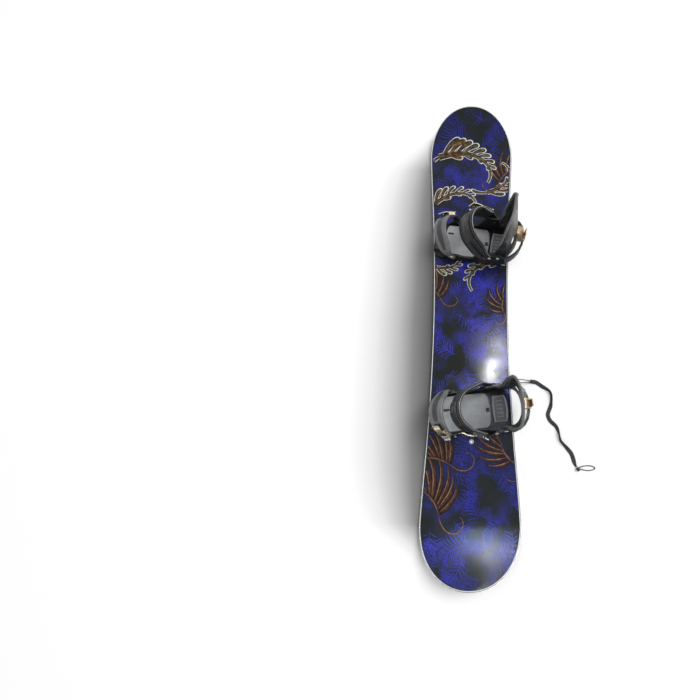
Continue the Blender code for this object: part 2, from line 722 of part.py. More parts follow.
def build_highback(tag, frame, axis):
    """Thin curved shell with wings that run down to its pivots, and two windows."""
    wall_inside = BASE_HALF - BASE_WALL - 0.0006 - HIGHBACK_THICK / 2
    path = loop_plan((WING_FRONT, WING_RISE, WING_TIP), WING_BEND, HIGHBACK_APEX, wall_inside,
                     HIGHBACK_SQUARENESS)
    origin = Vector((HIGHBACK_PIVOT[0], 0.0, HIGHBACK_PIVOT[1]))
    length = [0.0]
    for a, b in zip(path, path[1:]):
        length.append(length[-1] + (Vector(b) - Vector(a)).length)
    middle = length[-1] / 2
    rows = 8
    shape = bmesh.new()
    grid = []
    for (u, v), run in zip(path, length):
        share = abs(run - middle) / middle
        way = 1 if v > 0 else -1
        low = HIGHBACK_LOW + (WING_LOW - HIGHBACK_LOW) * ease(share, 0.35, 0.80)
        if u < WING_TIP:
            top = WING_TOP if u < WING_RISE else WING_RISE_TOP
        elif u < WING_BEND:
            top = WING_EDGE[way]
        else:
            top = HIGHBACK_TOP * through(CREST[way], share)
        column = []
        for i in range(rows + 1):
            z = low + (top - low) * i / rows
            flat = 1.0 - HIGHBACK_FLATTEN * ease(z, FLATTEN_FROM, FLATTEN_TO)
            lean = HIGHBACK_LEAN * max(0.0, z - LEAN_FROM)
            wide = 1.0 + HIGHBACK_WIDEN * ease(z, WIDEN_FROM, WIDEN_TO)
            x = HIGHBACK_APEX - lean - (HIGHBACK_APEX - u) * flat
            column.append(shape.verts.new(Vector((x, v * wide, z)) - origin))
        grid.append(column)
    for left, right in zip(grid, grid[1:]):
        for i in range(rows):
            shape.faces.new((left[i], right[i], right[i + 1], left[i + 1]))
    shell = add_part(tag + "_highback", mesh_from_bmesh(shape), axis, NYLON, 0.4)
    wall = shell.modifiers.new("wall", "SOLIDIFY")
    wall.thickness = HIGHBACK_THICK
    wall.offset = 0.0
    wall.use_even_offset = True
    for i, (v, z, wide, tall) in enumerate(((0.0, 0.205, 0.030, 0.010),
                                            (-0.038, 0.112, 0.016, 0.036),
                                            (0.038, 0.112, 0.016, 0.036))):
        hole = rounded_plan(-wide / 2, wide / 2, tall / 2, min(wide, tall) * 0.49,
                            min(wide, tall) * 0.49)
        turn = Matrix.Translation((0.0, v, z - HIGHBACK_PIVOT[1])) @ \
            Matrix.Rotation(math.radians(90), 4, "Z") @ SIDEWAYS
        window = plate(hole, -0.080, 0.080, turn)
        boolean(shell, add_cutter("%s_window_%d" % (tag, i), window, axis), "DIFFERENCE")
    cross_hole(shell, axis, 0.0, 0.0, BOLT_HOLE, -0.08, 0.08, tag + "_wing_drill")


def build_lean_adjuster(tag, frame, axis):
    """Block that bears on the heel loop's rim, and the lever that locks it."""
    px, pz = HIGHBACK_PIVOT
    low = LOOP_BACK_TOP + 2 * GAP
    body = [(highback_outer(low) + GAP, low), (LEAN_BACK, low), (LEAN_BACK + 0.0065, low + 0.005),
            (LEAN_BACK + 0.0065, LEAN_PIVOT[1] + 0.004), (LEAN_BACK, LEAN_PIVOT[1] + 0.007),
            (LEAN_BACK - 0.003, LEAN_TOP - 0.006), (LEAN_BACK - 0.009, LEAN_TOP),
            (highback_outer(LEAN_TOP) + GAP, LEAN_TOP)]
    outline = [(x - px, z - pz) for x, z in body]
    block = add_part(tag + "_lean_block", plate(outline, -LEAN_HALF, LEAN_HALF, SIDEWAYS),
                     axis, (0.05, 0.05, 0.055), 0.45)
    ear = 0.0040
    x, z = LEAN_PIVOT[0] - px, LEAN_PIVOT[1] - pz
    bay = plate([(x - LEAN_BARREL - 0.0012, z - 0.010), (x + 0.020, z - 0.010),
                 (x + 0.020, z + 0.040), (x - LEAN_BARREL - 0.0012, z + 0.040)],
                -LEAN_HALF + ear, LEAN_HALF - ear, SIDEWAYS)
    boolean(block, add_cutter(tag + "_lean_bay", bay, axis), "DIFFERENCE")
    cross_hole(block, axis, x, z, PIN_RADIUS + PIN_CLEAR, -0.03, 0.03, tag + "_lean_drill")
    hinge = axis_empty(tag + "_lean_axis", Matrix.Translation((x, 0.0, z)), axis)
    r = LEAN_BARREL
    reach = LEAN_LEVER_LENGTH
    wing = [(-r * 0.9, 0.0), (-r * 0.6, -r * 0.7), (0.0, -r), (r * 0.7, -r * 0.6), (r, 0.0),
            (r * 0.9, reach * 0.5), (r * 1.5, reach), (r * 0.6, reach + 0.001),
            (-r * 0.4, reach * 0.6)]
    lever = add_part(tag + "_lean_lever",
                     plate(wing, -LEAN_HALF + ear + 0.0004, LEAN_HALF - ear - 0.0004, SIDEWAYS),
                     hinge, GILT, 0.3, 1.0)
    pin = drum(PIN_RADIUS, -LEAN_HALF + 0.0005, LEAN_HALF - 0.0005, 10, matrix=SIDEWAYS)
    boolean(lever, add_cutter(tag + "_lean_pin", pin, hinge), "UNION")


def ladder_outline(legs, half, side, start, end, offset, thick, scale):
    """Side view of a ladder strap: a plain inner face and saw teeth outside."""
    def edge(distance, out):
        x, y, heading = arch_point(legs, half, distance)
        shift = offset(distance) + out
        return x + math.sin(heading) * shift, (y + math.cos(heading) * shift) * side

    flat_end = BOLT_HEAD + 0.001
    stops = [s for s in arch_stops(legs) if flat_end + 0.001 < s < end]
    inner = [edge(s, -thick / 2) for s in [start, flat_end, *stops, end]]
    outer = [edge(start, thick / 2), edge(flat_end, thick / 2)]
    tooth = flat_end + 0.006 * scale
    pitch = TOOTH_PITCH * scale
    outer.append(edge(tooth, thick / 2))
    while tooth + pitch < end - 0.004 * scale:
        outer.append(edge(tooth + 0.85 * pitch, thick / 2 + TOOTH_HEIGHT * scale))
        outer.append(edge(tooth + pitch, thick / 2))
        tooth += pitch
    outer.append(edge(end - 0.002 * scale, thick / 2))
    outer.append(edge(end, 0.0))
    return inner + outer[::-1]


def build_ratchet(name, seat, scale, colour):
    """Ratchet buckle on its seat: frame with two cheeks, toothed lever and release."""
    k = scale
    inner = LADDER_WIDTH / 2 * k + LADDER_CLEAR
    outer = inner + RATCHET_WALL * k
    long = RATCHET_HALF_LENGTH * k
    tall = RATCHET_HEIGHT * k
    cheek = [(-long, 0.0), (long, 0.0), (long, tall * 0.5), (0.013 * k, tall * 0.96),
             (0.004 * k, tall), (-0.004 * k, tall * 0.88), (-0.016 * k, tall * 0.88),
             (-long, tall * 0.58)]
    frame = add_part(name + "_buckle", plate(cheek, -outer, outer), seat, colour, 0.32, 1.0)
    channel = plate([(-0.1, RATCHET_BASE * k), (0.1, RATCHET_BASE * k), (0.1, 0.05),
                     (-0.1, 0.05)], -inner, inner)
    boolean(frame, add_cutter(name + "_channel", channel, seat), "DIFFERENCE")
    for tag, (t, o) in (("lever", LEVER_PIN), ("release", RELEASE_PIN)):
        drill = drum((PIN_RADIUS * k) + PIN_CLEAR, -outer - 0.01, outer + 0.01, 8,
                     matrix=Matrix.Translation((t * k, o * k, 0.0)))
        boolean(frame, add_cutter("%s_%s_drill" % (name, tag), drill, seat), "DIFFERENCE")

    clear = inner - 0.0004
    t, o = LEVER_PIN[0] * k, LEVER_PIN[1] * k
    hinge = axis_empty(name + "_lever_axis", Matrix.Translation((t, o, 0.0)), seat)
    boss = LEVER_BOSS * k
    reach = (LEVER_REACH - LEVER_PIN[0]) * k
    handle = [(boss * math.cos(math.radians(a)), boss * math.sin(math.radians(a)))
              for a in (120, 150, 180, 210, 240, 270, 300, 330)]
    handle += [(reach * 0.30, boss * 0.45), (reach * 0.62, boss * 0.75), (reach * 0.86, 0.0),
               (reach, boss * 0.35), (reach, boss * 1.05), (reach * 0.86, boss * 0.85),
               (reach * 0.62, boss * 1.55), (reach * 0.30, boss * 1.35)]
    lever = add_part(name + "_lever", plate(handle, -clear, clear), hinge, GILT, 0.28, 1.0)
    pin = drum(PIN_RADIUS * k, -outer + 0.0004, outer - 0.0004, 8)
    boolean(lever, add_cutter(name + "_lever_pin", pin, hinge), "UNION")

    t, o = RELEASE_PIN[0] * k, RELEASE_PIN[1] * k
    hinge = axis_empty(name + "_release_axis", Matrix.Translation((t, o, 0.0)), seat)
    boss = RELEASE_BOSS * k
    reach = (RELEASE_REACH - RELEASE_PIN[0]) * k
    tab = [(boss * math.cos(math.radians(a)), boss * math.sin(math.radians(a)))
           for a in (60, 30, 0, -30, -60, -90)]
    tab += [(reach * 0.5, -boss * 0.1), (reach, boss * 0.9), (reach, boss * 1.9),
            (reach * 0.5, boss * 1.1)]
    release = add_part(name + "_release", plate(tab, -clear, clear), hinge,
                       (0.55, 0.56, 0.58), 0.3, 1.0)
    pin = drum(PIN_RADIUS * k, -outer + 0.0004, outer - 0.0004, 8)
    boolean(release, add_cutter(name + "_release_pin", pin, hinge), "UNION")


def build_strap(name, frame, side, pivot, tilt, legs, half, rail_face, width, thick, scale,
                pad_colour):
    """One strap: pad from the inner pivot, ladder from the outer one, joined by a ratchet."""
    lay = Matrix.Translation((pivot[0], 0.0, pivot[1])) @ \
        Matrix.Rotation(math.pi + tilt, 4, "Y")
    axis = axis_empty(name + "_axis", lay, frame)
    total = sum(length for length, turn in legs)
    seat_start = legs[0][0] + legs[1][0]
    seat_end = seat_start + legs[2][0]
    thin = TONGUE_THICK
    tongue = 0.0095 + 0.003 * scale
    seat_thick = PAD_SEAT_FACE * scale + thin / 2

    sections = []
    inside_start = total - legs[6][0] - legs[5][0]
    face = thin / 2
    stops = [s for s in arch_stops(legs) if seat_start - 1e-6 <= s < total - 1e-6]
    for s in stops + [total, total + tongue]:
        fold = ease(s, inside_start - 0.006, total - BOLT_HEAD - 0.003)
        open_up = ease(s, seat_end - 0.004, seat_end + 0.020)
        t = seat_thick + (thick - seat_thick) * open_up
        t += (thin - t) * fold
        outward = max(1.0 - open_up, ease(s, inside_start - 0.050, inside_start - 0.005))
        offset = (t / 2 - face) * outward
        middle = ease(s, seat_start, seat_end + 0.025) * \
            (1.0 - ease(s, inside_start - 0.035, total - 0.004))
        w = (0.60 + 0.40 * middle) * width
        w += (2 * tongue - w) * ease(s, inside_start - 0.010, total - 0.004)
        if s > total:
            w = tongue
        sections.append(strap_section(legs, half, side, s, offset, t, w))
    pad = add_part(name + "_pad", loft(sections), axis, pad_colour, 0.65)
    cross_hole(pad, axis, 0.0, 0.0, BOLT_HOLE, -0.10, 0.10, name + "_pad_drill")

    lift = (PAD_SEAT_FACE + RATCHET_BASE + LADDER_THICK / 2) * scale + GAP + LADDER_CLEAR
    past = max(0.0, thick / 2 + GAP + LADDER_THICK * scale / 2 + 0.0003 - lift)

    def ladder_offset(s):
        return lift * ease(s, BOLT_HEAD + 0.001, seat_start) + \
            past * ease(s, seat_end - 0.002, seat_end + 0.006)

    end = seat_end + 0.022 * scale
    outline = ladder_outline(legs, half, side, -tongue, end, ladder_offset,
                             LADDER_THICK * scale, scale)
    ladder = add_part(name + "_ladder",
                      plate(outline, -LADDER_WIDTH / 2 * scale, LADDER_WIDTH / 2 * scale),
                      axis, (0.035, 0.035, 0.038), 0.4)
    cross_hole(ladder, axis, 0.0, 0.0, BOLT_HOLE, -0.10, 0.10, name + "_ladder_drill")

    x, y, heading = arch_point(legs, half, (seat_start + seat_end) / 2)
    normal = Vector((math.sin(heading), math.cos(heading) * side, 0.0))
    along = Vector((math.cos(heading), -math.sin(heading) * side, 0.0))
    place = Vector((x, y * side, 0.0)) + normal * (PAD_SEAT_FACE * scale + GAP)
    turn = Matrix((along, normal, along.cross(normal))).transposed().to_4x4()
    seat = axis_empty(name + "_seat", Matrix.Translation(place) @ turn, axis)
    build_ratchet(name, seat, scale, (0.30, 0.27, 0.22))

    head = half + TONGUE_THICK / 2 + GAP
    reach = head - rail_face
    for where, s in (("outer", side), ("inner", -side)):
        bolt("%s_%s_bolt" % (name, where), frame, (pivot[0], s * head, pivot[1]), s, reach)


def build_binding(tag, place, angle, side, ankle_tilt, ankle_lead, core, deck):
    """One whole binding; side is +1 where its buckles face the nose, and -1 the tail."""
    frame = axis_empty(tag + "_binding", Matrix.Translation((0.0, place, BOARD_THICKNESS))
                       @ Matrix.Rotation(-angle, 4, "Z"))
    build_baseplate(tag, frame)
    build_disc(tag, frame, core, deck)
    build_pads(tag, frame, side)
    build_heel_loop(tag, frame)
    back_axis = axis_empty(tag + "_highback_axis", Matrix.Translation(
        (HIGHBACK_PIVOT[0], 0.0, HIGHBACK_PIVOT[1])), frame)
    build_highback(tag, frame, back_axis)
    build_lean_adjuster(tag, frame, back_axis)
    loop_face = BASE_HALF + GAP + LOOP_THICK + 0.0004
    inside = BASE_HALF - BASE_WALL - 0.0006 - HIGHBACK_THICK + 0.0005
    for where, s in (("nose", 1), ("tail", -1)):
        bolt("%s_highback_%s_bolt" % (tag, where), frame,
             (HIGHBACK_PIVOT[0], s * (loop_face + GAP), HIGHBACK_PIVOT[1]), s,
             loop_face + GAP - inside, (0.5, 0.5, 0.52))

    ankle_half = loop_face + TONGUE_CLEAR + TONGUE_THICK / 2
    legs = arch(ankle_lead, ANKLE_BEND, ANKLE_BEND_RADIUS, ANKLE_SEAT, ankle_half)
    build_strap(tag + "_ankle", frame, side, ANKLE_PIVOT, ankle_tilt, legs, ankle_half,
                BASE_HALF - BASE_WALL + 0.0006, ANKLE_PAD_WIDTH, ANKLE_PAD_THICK, 1.0,
                WEBBED_GREY)
    toe_half = BASE_HALF + TONGUE_CLEAR + TONGUE_THICK / 2
    legs = arch(TOE_LEAD, TOE_BEND, TOE_BEND_RADIUS, TOE_SEAT, toe_half)
    build_strap(tag + "_toe", frame, side, TOE_PIVOT, TOE_TILT, legs, toe_half,
                BASE_HALF - BASE_WALL + 0.0006, TOE_PAD_WIDTH, TOE_PAD_THICK,
                TOE_RATCHET_SCALE, WEBBED_GREY)
    return frame


def build_leash(frame):
    """Cord looped round the rear heel loop, webbing over the floor, knot and end loop."""
    path = heel_loop_plan()
    u, v = path[LEASH_NODE]
    normal = normals(path)[LEASH_NODE]
    low, top = loop_edges(u)
    off = LOOP_THICK / 2 + CORD_RADIUS + CORD_CLEAR
    lip = off + LOOP_LIP + 0.0006
    above = top + CORD_RADIUS + CORD_CLEAR
    under = low - CORD_RADIUS - CORD_CLEAR
    side = off + 0.0007
    ring = [(lip, top - 0.004), (lip, top + 0.0006), (lip * 0.5, above + 0.0012),
            (-off * 0.7, above + 0.0010), (-side, top - 0.0002), (-off, top - 0.006),
            (-off, low + 0.006), (-side, low + 0.0002), (-off * 0.7, under - 0.0010),
            (off * 0.6, under - 0.0006), (off + 0.0012, low - 0.0010)]
    set_down = Matrix.Translation((0.0, REAR_PLACE, BOARD_THICKNESS)) @ \
        Matrix.Rotation(-REAR_ANGLE, 4, "Z")
    round_loop = [set_down @ Vector((u + normal.x * o, v + normal.y * o, z)) for o, z in ring]
    route = [Vector(p) for p in HITCH_DOWN[::-1]] + round_loop + \
        [Vector(p) for p in HITCH_UP[::-1]]
    tube_object("leash_hitch_loop", smooth_route(route, 0.0065), CORD_RADIUS,
                (0.02, 0.02, 0.022), 0.7)

    floor = WEBBING_RADIUS + 0.0002
    route = [Vector((x, y, floor)) for x, y in WEBBING_ROUTE]
    tube_object("leash_webbing", smooth_route(route, 0.010), WEBBING_RADIUS,
                (0.012, 0.012, 0.013), 0.8)

    turn = Matrix.Translation(KNOT_PLACE) @ Matrix.Rotation(KNOT_TURN, 4, "Z") @ \
        Matrix.Rotation(math.radians(90), 4, "Y")
    half_knot = KNOT_LENGTH / 2
    rings = []
    for share in (-1.0, -0.75, -0.3, 0.3, 0.75, 1.0):
        size = KNOT_RADIUS * math.sqrt(max(0.0, 1.0 - (share * 0.8) ** 2))
        rings.append([turn @ Vector((size * math.cos(a * math.tau / 12),
                                     size * math.sin(a * math.tau / 12), share * half_knot))
                      for a in range(12)])
    add_part("leash_knot", loft(rings), None, (0.012, 0.012, 0.013), 0.8)

    tube_object("leash_end_loop", smooth_route([Vector(p) for p in END_LOOP_ROUTE], 0.0065),
                CORD_RADIUS,
                (0.02, 0.02, 0.022), 0.7)


core, deck = build_board()
build_binding("front", FRONT_PLACE, FRONT_ANGLE, 1, FRONT_ANKLE_TILT, FRONT_ANKLE_LEAD,
              core, deck)
rear = build_binding("rear", REAR_PLACE, REAR_ANGLE, -1, REAR_ANKLE_TILT, REAR_ANKLE_LEAD,
                     core, deck)
build_leash(rear)
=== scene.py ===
"""Looks of the snowboard with strap bindings and leash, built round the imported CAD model.

After the camera, the file follows the object as it is put together: leash, board, artwork,
then each binding from its baseplate up to its straps, and last the floor and lights.
"""

import math
import random

import bmesh
import bpy
from mathutils import Matrix, Vector
from mathutils.bvhtree import BVHTree


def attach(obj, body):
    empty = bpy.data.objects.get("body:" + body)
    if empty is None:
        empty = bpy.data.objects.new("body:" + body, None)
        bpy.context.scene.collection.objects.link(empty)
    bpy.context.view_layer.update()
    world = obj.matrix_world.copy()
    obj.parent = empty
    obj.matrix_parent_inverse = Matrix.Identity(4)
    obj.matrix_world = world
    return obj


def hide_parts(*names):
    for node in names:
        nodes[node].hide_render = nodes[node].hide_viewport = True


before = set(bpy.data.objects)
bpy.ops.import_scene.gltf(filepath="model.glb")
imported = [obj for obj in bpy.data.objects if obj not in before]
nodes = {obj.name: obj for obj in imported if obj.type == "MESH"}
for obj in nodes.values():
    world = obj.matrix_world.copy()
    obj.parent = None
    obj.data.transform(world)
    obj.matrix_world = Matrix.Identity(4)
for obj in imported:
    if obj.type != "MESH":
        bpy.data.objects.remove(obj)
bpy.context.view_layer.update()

# Camera: one lens looking down on the board from its rear foot, as the photograph was taken.
# The eye's place and tilts are in the part's frame; the shift is the photograph's crop.
EYE = Vector((0.0451, -0.3647, 0.9564))
FOCAL_PIXELS, IMAGE_PIXELS, AXIS_PIXELS = 318.895, 700.0, (477.655, 374.96)
turn = (Matrix.Rotation(-0.006, 4, "Z") @ Matrix.Rotation(0.194, 4, "X")
        @ Matrix.Rotation(0.025, 4, "Y"))
lens = bpy.data.cameras.new("camera")
lens.sensor_width = 36.0
lens.lens = lens.sensor_width * FOCAL_PIXELS / IMAGE_PIXELS
lens.shift_x = (IMAGE_PIXELS / 2 - AXIS_PIXELS[0]) / IMAGE_PIXELS
lens.shift_y = (AXIS_PIXELS[1] - IMAGE_PIXELS / 2) / IMAGE_PIXELS
lens.clip_start = 0.01
camera = bpy.data.objects.new("camera", lens)
camera.matrix_world = Matrix.Translation(EYE) @ turn
bpy.context.scene.collection.objects.link(camera)
bpy.context.scene.camera = camera


# Leash cords: two thin braided nylon loops. One is hitched round the rear heel loop and sewn
# into the webbing; the other hangs from the knot and goes round the rider's leg.
class Finish:
    """A Principled material built up from named procedural nodes in part coordinates."""

    def __init__(self, name, colour, roughness, metallic=0.0, specular=0.5, coat=0.0):
        self.made = bpy.data.materials.new(name)
        self.made.use_nodes = True
        self.tree = self.made.node_tree
        self.shader = self.tree.nodes["Principled BSDF"]
        self.shader.inputs["Base Color"].default_value = (*colour, 1.0)
        self.shader.inputs["Roughness"].default_value = roughness
        self.shader.inputs["Metallic"].default_value = metallic
        self.shader.inputs["Specular IOR Level"].default_value = specular
        if coat:
            self.shader.inputs["Coat Weight"].default_value = coat
            self.shader.inputs["Coat Roughness"].default_value = 0.04
        self.place = self.add("ShaderNodeTexCoord").outputs["Object"]

    def add(self, kind, settings=None, **inputs):
        """Add a node; an input is a value, or another node's socket."""
        node = self.tree.nodes.new(kind)
        for key, value in (settings or {}).items():
            setattr(node, key, value)
        for key, value in inputs.items():
            socket = node.inputs[int(key[1:])] if key[0] == "_" else \
                node.inputs[key.replace("_", " ")]
            if isinstance(value, bpy.types.NodeSocket):
                self.tree.links.new(value, socket)
            else:
                socket.default_value = value
        return node

    def stretch(self, x, y, z):
        """Part coordinates scaled along each axis, in cells per metre."""
        return self.add("ShaderNodeMapping", Vector=self.place, Scale=(x, y, z)).outputs[0]

    def noise(self, scale, detail=4.0, rough=0.55, where=None):
        """Cloudy grey noise, in blotches per metre."""
        return self.add("ShaderNodeTexNoise", Vector=where or self.place, Scale=scale,
                        Detail=detail, Roughness=rough).outputs[0]

    def cells(self, scale, where=None, feature="F1"):
        """Distance to the middles of scattered cells, or to the edges between them."""
        return self.add("ShaderNodeTexVoronoi", {"feature": feature},
                        Vector=where or self.place, Scale=scale).outputs[0]

    def ramp(self, value, *stops):
        """Colour or grey steps: each stop is (place, colour)."""
        node = self.add("ShaderNodeValToRGB", Fac=value)
        line = node.color_ramp.elements
        while len(line) < len(stops):
            line.new(0.5)
        for step, (place, colour) in zip(line, stops):
            step.position = place
            step.color = (*colour, 1.0) if isinstance(colour, tuple) else \
                (colour, colour, colour, 1.0)
        return node.outputs[0]

    def mix(self, share, a, b):
        """Blend from a to b; each may be a colour or a socket."""
        node = self.add("ShaderNodeMix", {"data_type": "RGBA"})
        for socket, value in ((node.inputs[0], share), (node.inputs[6], a), (node.inputs[7], b)):
            if isinstance(value, bpy.types.NodeSocket):
                self.tree.links.new(value, socket)
            else:
                socket.default_value = (*value, 1.0) if isinstance(value, tuple) else value
        return node.outputs[2]

    def wave(self, scale, distortion, **settings):
        """Parallel bands; settings give their direction and profile."""
        where = settings.pop("where", self.place)
        detail = settings.pop("detail", 2.0)
        return self.add("ShaderNodeTexWave", settings, Vector=where, Scale=scale,
                        Distortion=distortion, Detail=detail).outputs[1]

    def maths(self, operation, a, b=0.0, c=0.0):
        return self.add("ShaderNodeMath", {"operation": operation}, _0=a, _1=b,
                        _2=c).outputs[0]

    def edges(self, radius):
        """1 on rounded-over edges, 0 on open faces."""
        soft = self.add("ShaderNodeBevel", {"samples": 4}, Radius=radius).outputs[0]
        flat = self.add("ShaderNodeNewGeometry").outputs["Normal"]
        dot = self.add("ShaderNodeVectorMath", {"operation": "DOT_PRODUCT"}, _0=soft,
                       _1=flat).outputs["Value"]
        return self.ramp(dot, (0.80, 1.0), (0.985, 0.0))

    def paint(self, colour):
        self.tree.links.new(colour, self.shader.inputs["Base Color"])

    def sheen(self, value):
        self.tree.links.new(value, self.shader.inputs["Roughness"])

    def bump(self, height, depth, strength=1.0, round_off=0.0):
        """Relief of the given depth in metres, over edges rounded off by a radius."""
        node = self.add("ShaderNodeBump", Height=height, Distance=depth, Strength=strength)
        if round_off:
            soft = self.add("ShaderNodeBevel", {"samples": 4}, Radius=round_off).outputs[0]
            self.tree.links.new(soft, node.inputs["Normal"])
        self.tree.links.new(node.outputs[0], self.shader.inputs["Normal"])


SHARP_FROM = math.radians(40)


def piece_from(name, shape, finishes):
    """Make a bmesh into a piece of the scene."""
    bmesh.ops.recalc_face_normals(shape, faces=shape.faces)
    mesh = bpy.data.meshes.new(name)
    shape.to_mesh(mesh)
    shape.free()
    for finish in finishes:
        mesh.materials.append(finish)
    mesh.shade_smooth()
    mesh.set_sharp_from_angle(angle=SHARP_FROM)
    piece = bpy.data.objects.new(name, mesh)
    bpy.context.scene.collection.objects.link(piece)
    return piece


def frames_along(points):
    """Unit tangent, side and up of a route, carried along it without twisting."""
    tangents = []
    for i in range(len(points)):
        tangents.append((points[min(i + 1, len(points) - 1)] - points[max(i - 1, 0)]).normalized())
    side = tangents[0].cross(Vector((0, 0, 1)))
    side = side.normalized() if side.length > 0.05 else Vector((1, 0, 0))
    out = []
    for tangent in tangents:
        side = (side - tangent * side.dot(tangent)).normalized()
        out.append((tangent, side, side.cross(tangent)))
    return out


def skin(shape, rows, material=0, joined=False):
    """Skin closed rows of points with quads; cap the ends, or join the last row to the first."""
    rings = [[shape.verts.new(p) for p in row] for row in rows]
    for row, after in zip(rings, rings[1:] + rings[:joined]):
        for i in range(len(row)):
            j = (i + 1) % len(row)
            shape.faces.new((row[i], row[j], after[j], after[i])).material_index = material
    if not joined:
        shape.faces.new(rings[0][::-1]).material_index = material
        shape.faces.new(rings[-1]).material_index = material


def smooth_line(points, step):
    """Points on a Catmull-Rom line through the given ones, about a step apart."""
    points = [Vector(p) for p in points]
    ends = [points[0] * 2 - points[1], *points, points[-1] * 2 - points[-2]]
    out = []
    for a, b, c, d in zip(ends, ends[1:], ends[2:], ends[3:]):
        pieces = max(1, round((c - b).length / step))
        for i in range(pieces):
            t = i / pieces
            out.append(0.5 * (2 * b + (c - a) * t + (2 * a - 5 * b + 4 * c - d) * t * t
                              + (3 * b - a - 3 * c + d) * t ** 3))
    return out + [points[-1]]


def round_tube(shape, line, radius, sides):
    """Add a round tube along a line; radius may be a function of the share of its length."""
    rows = []
    for i, (point, (tangent, side, up)) in enumerate(zip(line, frames_along(line))):
        r = radius(i / (len(line) - 1)) if callable(radius) else radius
        rows.append([point + (side * math.cos(a) + up * math.sin(a)) * r
                     for a in (k * math.tau / sides for k in range(sides))])
    skin(shape, rows)


CORD_RADIUS = 0.00125
HITCH_ROUTE = [
    (0.183, -0.196, 0.0024), (0.1761, -0.1957, 0.0052), (0.169, -0.1957, 0.01),
    (0.1612, -0.1965, 0.0206), (0.153, -0.198, 0.034), (0.1458, -0.1998, 0.0467),
    (0.1388, -0.2019, 0.0594), (0.136, -0.203, 0.064), (0.1315, -0.2063, 0.0686),
    (0.1291, -0.209, 0.0701), (0.1291, -0.209, 0.0747), (0.1277, -0.2121, 0.077),
    (0.1253, -0.2177, 0.0768), (0.1246, -0.2193, 0.0739), (0.1248, -0.2187, 0.0681),
    (0.1249, -0.2186, 0.0605), (0.1248, -0.2187, 0.0529), (0.1246, -0.2193, 0.0471),
    (0.1253, -0.2177, 0.0441), (0.1272, -0.2132, 0.0445), (0.1283, -0.2107, 0.0459),
    (0.1328, -0.2099, 0.0476), (0.139, -0.209, 0.047), (0.1462, -0.2079, 0.0393),
    (0.154, -0.2065, 0.029), (0.1621, -0.2047, 0.0183), (0.17, -0.203, 0.009),
    (0.1767, -0.2017, 0.0049), (0.183, -0.2005, 0.0024)]
END_LOOP_ROUTE = [
    (0.3117, -0.4498, 0.004), (0.316, -0.4476, 0.0026), (0.3203, -0.4462, 0.002),
    (0.326, -0.445, 0.0015), (0.3339, -0.4443, 0.0014), (0.342, -0.4442, 0.0015),
    (0.3488, -0.4453, 0.0015), (0.354, -0.447, 0.0015), (0.3575, -0.4515, 0.0015),
    (0.352, -0.4552, 0.0015), (0.3455, -0.4567, 0.0015), (0.338, -0.4575, 0.0015),
    (0.3311, -0.4569, 0.0014), (0.325, -0.4558, 0.0015), (0.3182, -0.4535, 0.0026),
    (0.3134, -0.453, 0.004)]

braid = Finish("braided_nylon_cord", (0.012, 0.012, 0.014), 0.75)
plait = braid.maths("MAXIMUM", *(braid.wave(
    260.0, 1.5, bands_direction="DIAGONAL", where=braid.stretch(way, 1, 1)) for way in (1, -1)))
braid.paint(braid.ramp(plait, (0.2, (0.004, 0.004, 0.005)), (0.9, (0.028, 0.028, 0.031))))
braid.bump(plait, 0.0003, 0.8)


def leash_cord(name, node, route):
    """A round braided cord on the route of its CAD solid."""
    shape = bmesh.new()
    round_tube(shape, smooth_line(route, 0.002), CORD_RADIUS, 10)
    piece = piece_from(name, shape, [braid.made])
    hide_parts(node)
    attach(piece, "board")


# Leash webbing: flat woven nylon tape, twisted once or twice as it lies on the floor. The
# cord loops are sewn in at one end and come out of the knot at the other.
TAPE_WIDTH, TAPE_THICK = 0.0115, 0.0016
TAPE_ROUTE = [
    (0.1847, -0.1983), (0.197, -0.2005), (0.2034, -0.2044), (0.2108, -0.2097), (0.218, -0.215),
    (0.2254, -0.2198), (0.2326, -0.2246), (0.238, -0.23), (0.2412, -0.2394), (0.2415, -0.25),
    (0.241, -0.2581), (0.2398, -0.2667), (0.238, -0.275), (0.2334, -0.2864), (0.23, -0.297),
    (0.2315, -0.3068), (0.236, -0.316), (0.2439, -0.3243), (0.252, -0.333), (0.2562, -0.3439),
    (0.259, -0.355), (0.2606, -0.3649), (0.263, -0.374), (0.2687, -0.3819), (0.276, -0.39),
    (0.2815, -0.3965), (0.2873, -0.4034), (0.292, -0.41), (0.2955, -0.4189), (0.2975, -0.427),
    (0.3008, -0.4405), (0.3049, -0.4479)]
TAPE_TWIST = [(0.0, 8), (0.10, 20), (0.20, 68), (0.30, 62), (0.38, 15), (0.50, 8), (0.58, 40),
              (0.66, 78), (0.74, 60), (0.84, 15), (0.93, 8), (1.0, 40)]


def between(table, value):
    """A smooth value between the rows of a (place, value) table."""
    for (x0, y0), (x1, y1) in zip(table, table[1:]):
        if value <= x1:
            t = max(0.0, (value - x0) / (x1 - x0))
            return y0 + (y1 - y0) * t * t * (3 - 2 * t)
    return table[-1][1]


tape = Finish("woven_nylon_tape", (0.010, 0.010, 0.011), 0.8)
weft = tape.wave(190.0, 2.0, bands_direction="DIAGONAL", wave_profile="TRI", detail=1.0)
tape.paint(tape.ramp(weft, (0.1, (0.004, 0.004, 0.004)), (0.9, (0.030, 0.030, 0.032))))
tape.bump(weft, 0.0004, 0.7)

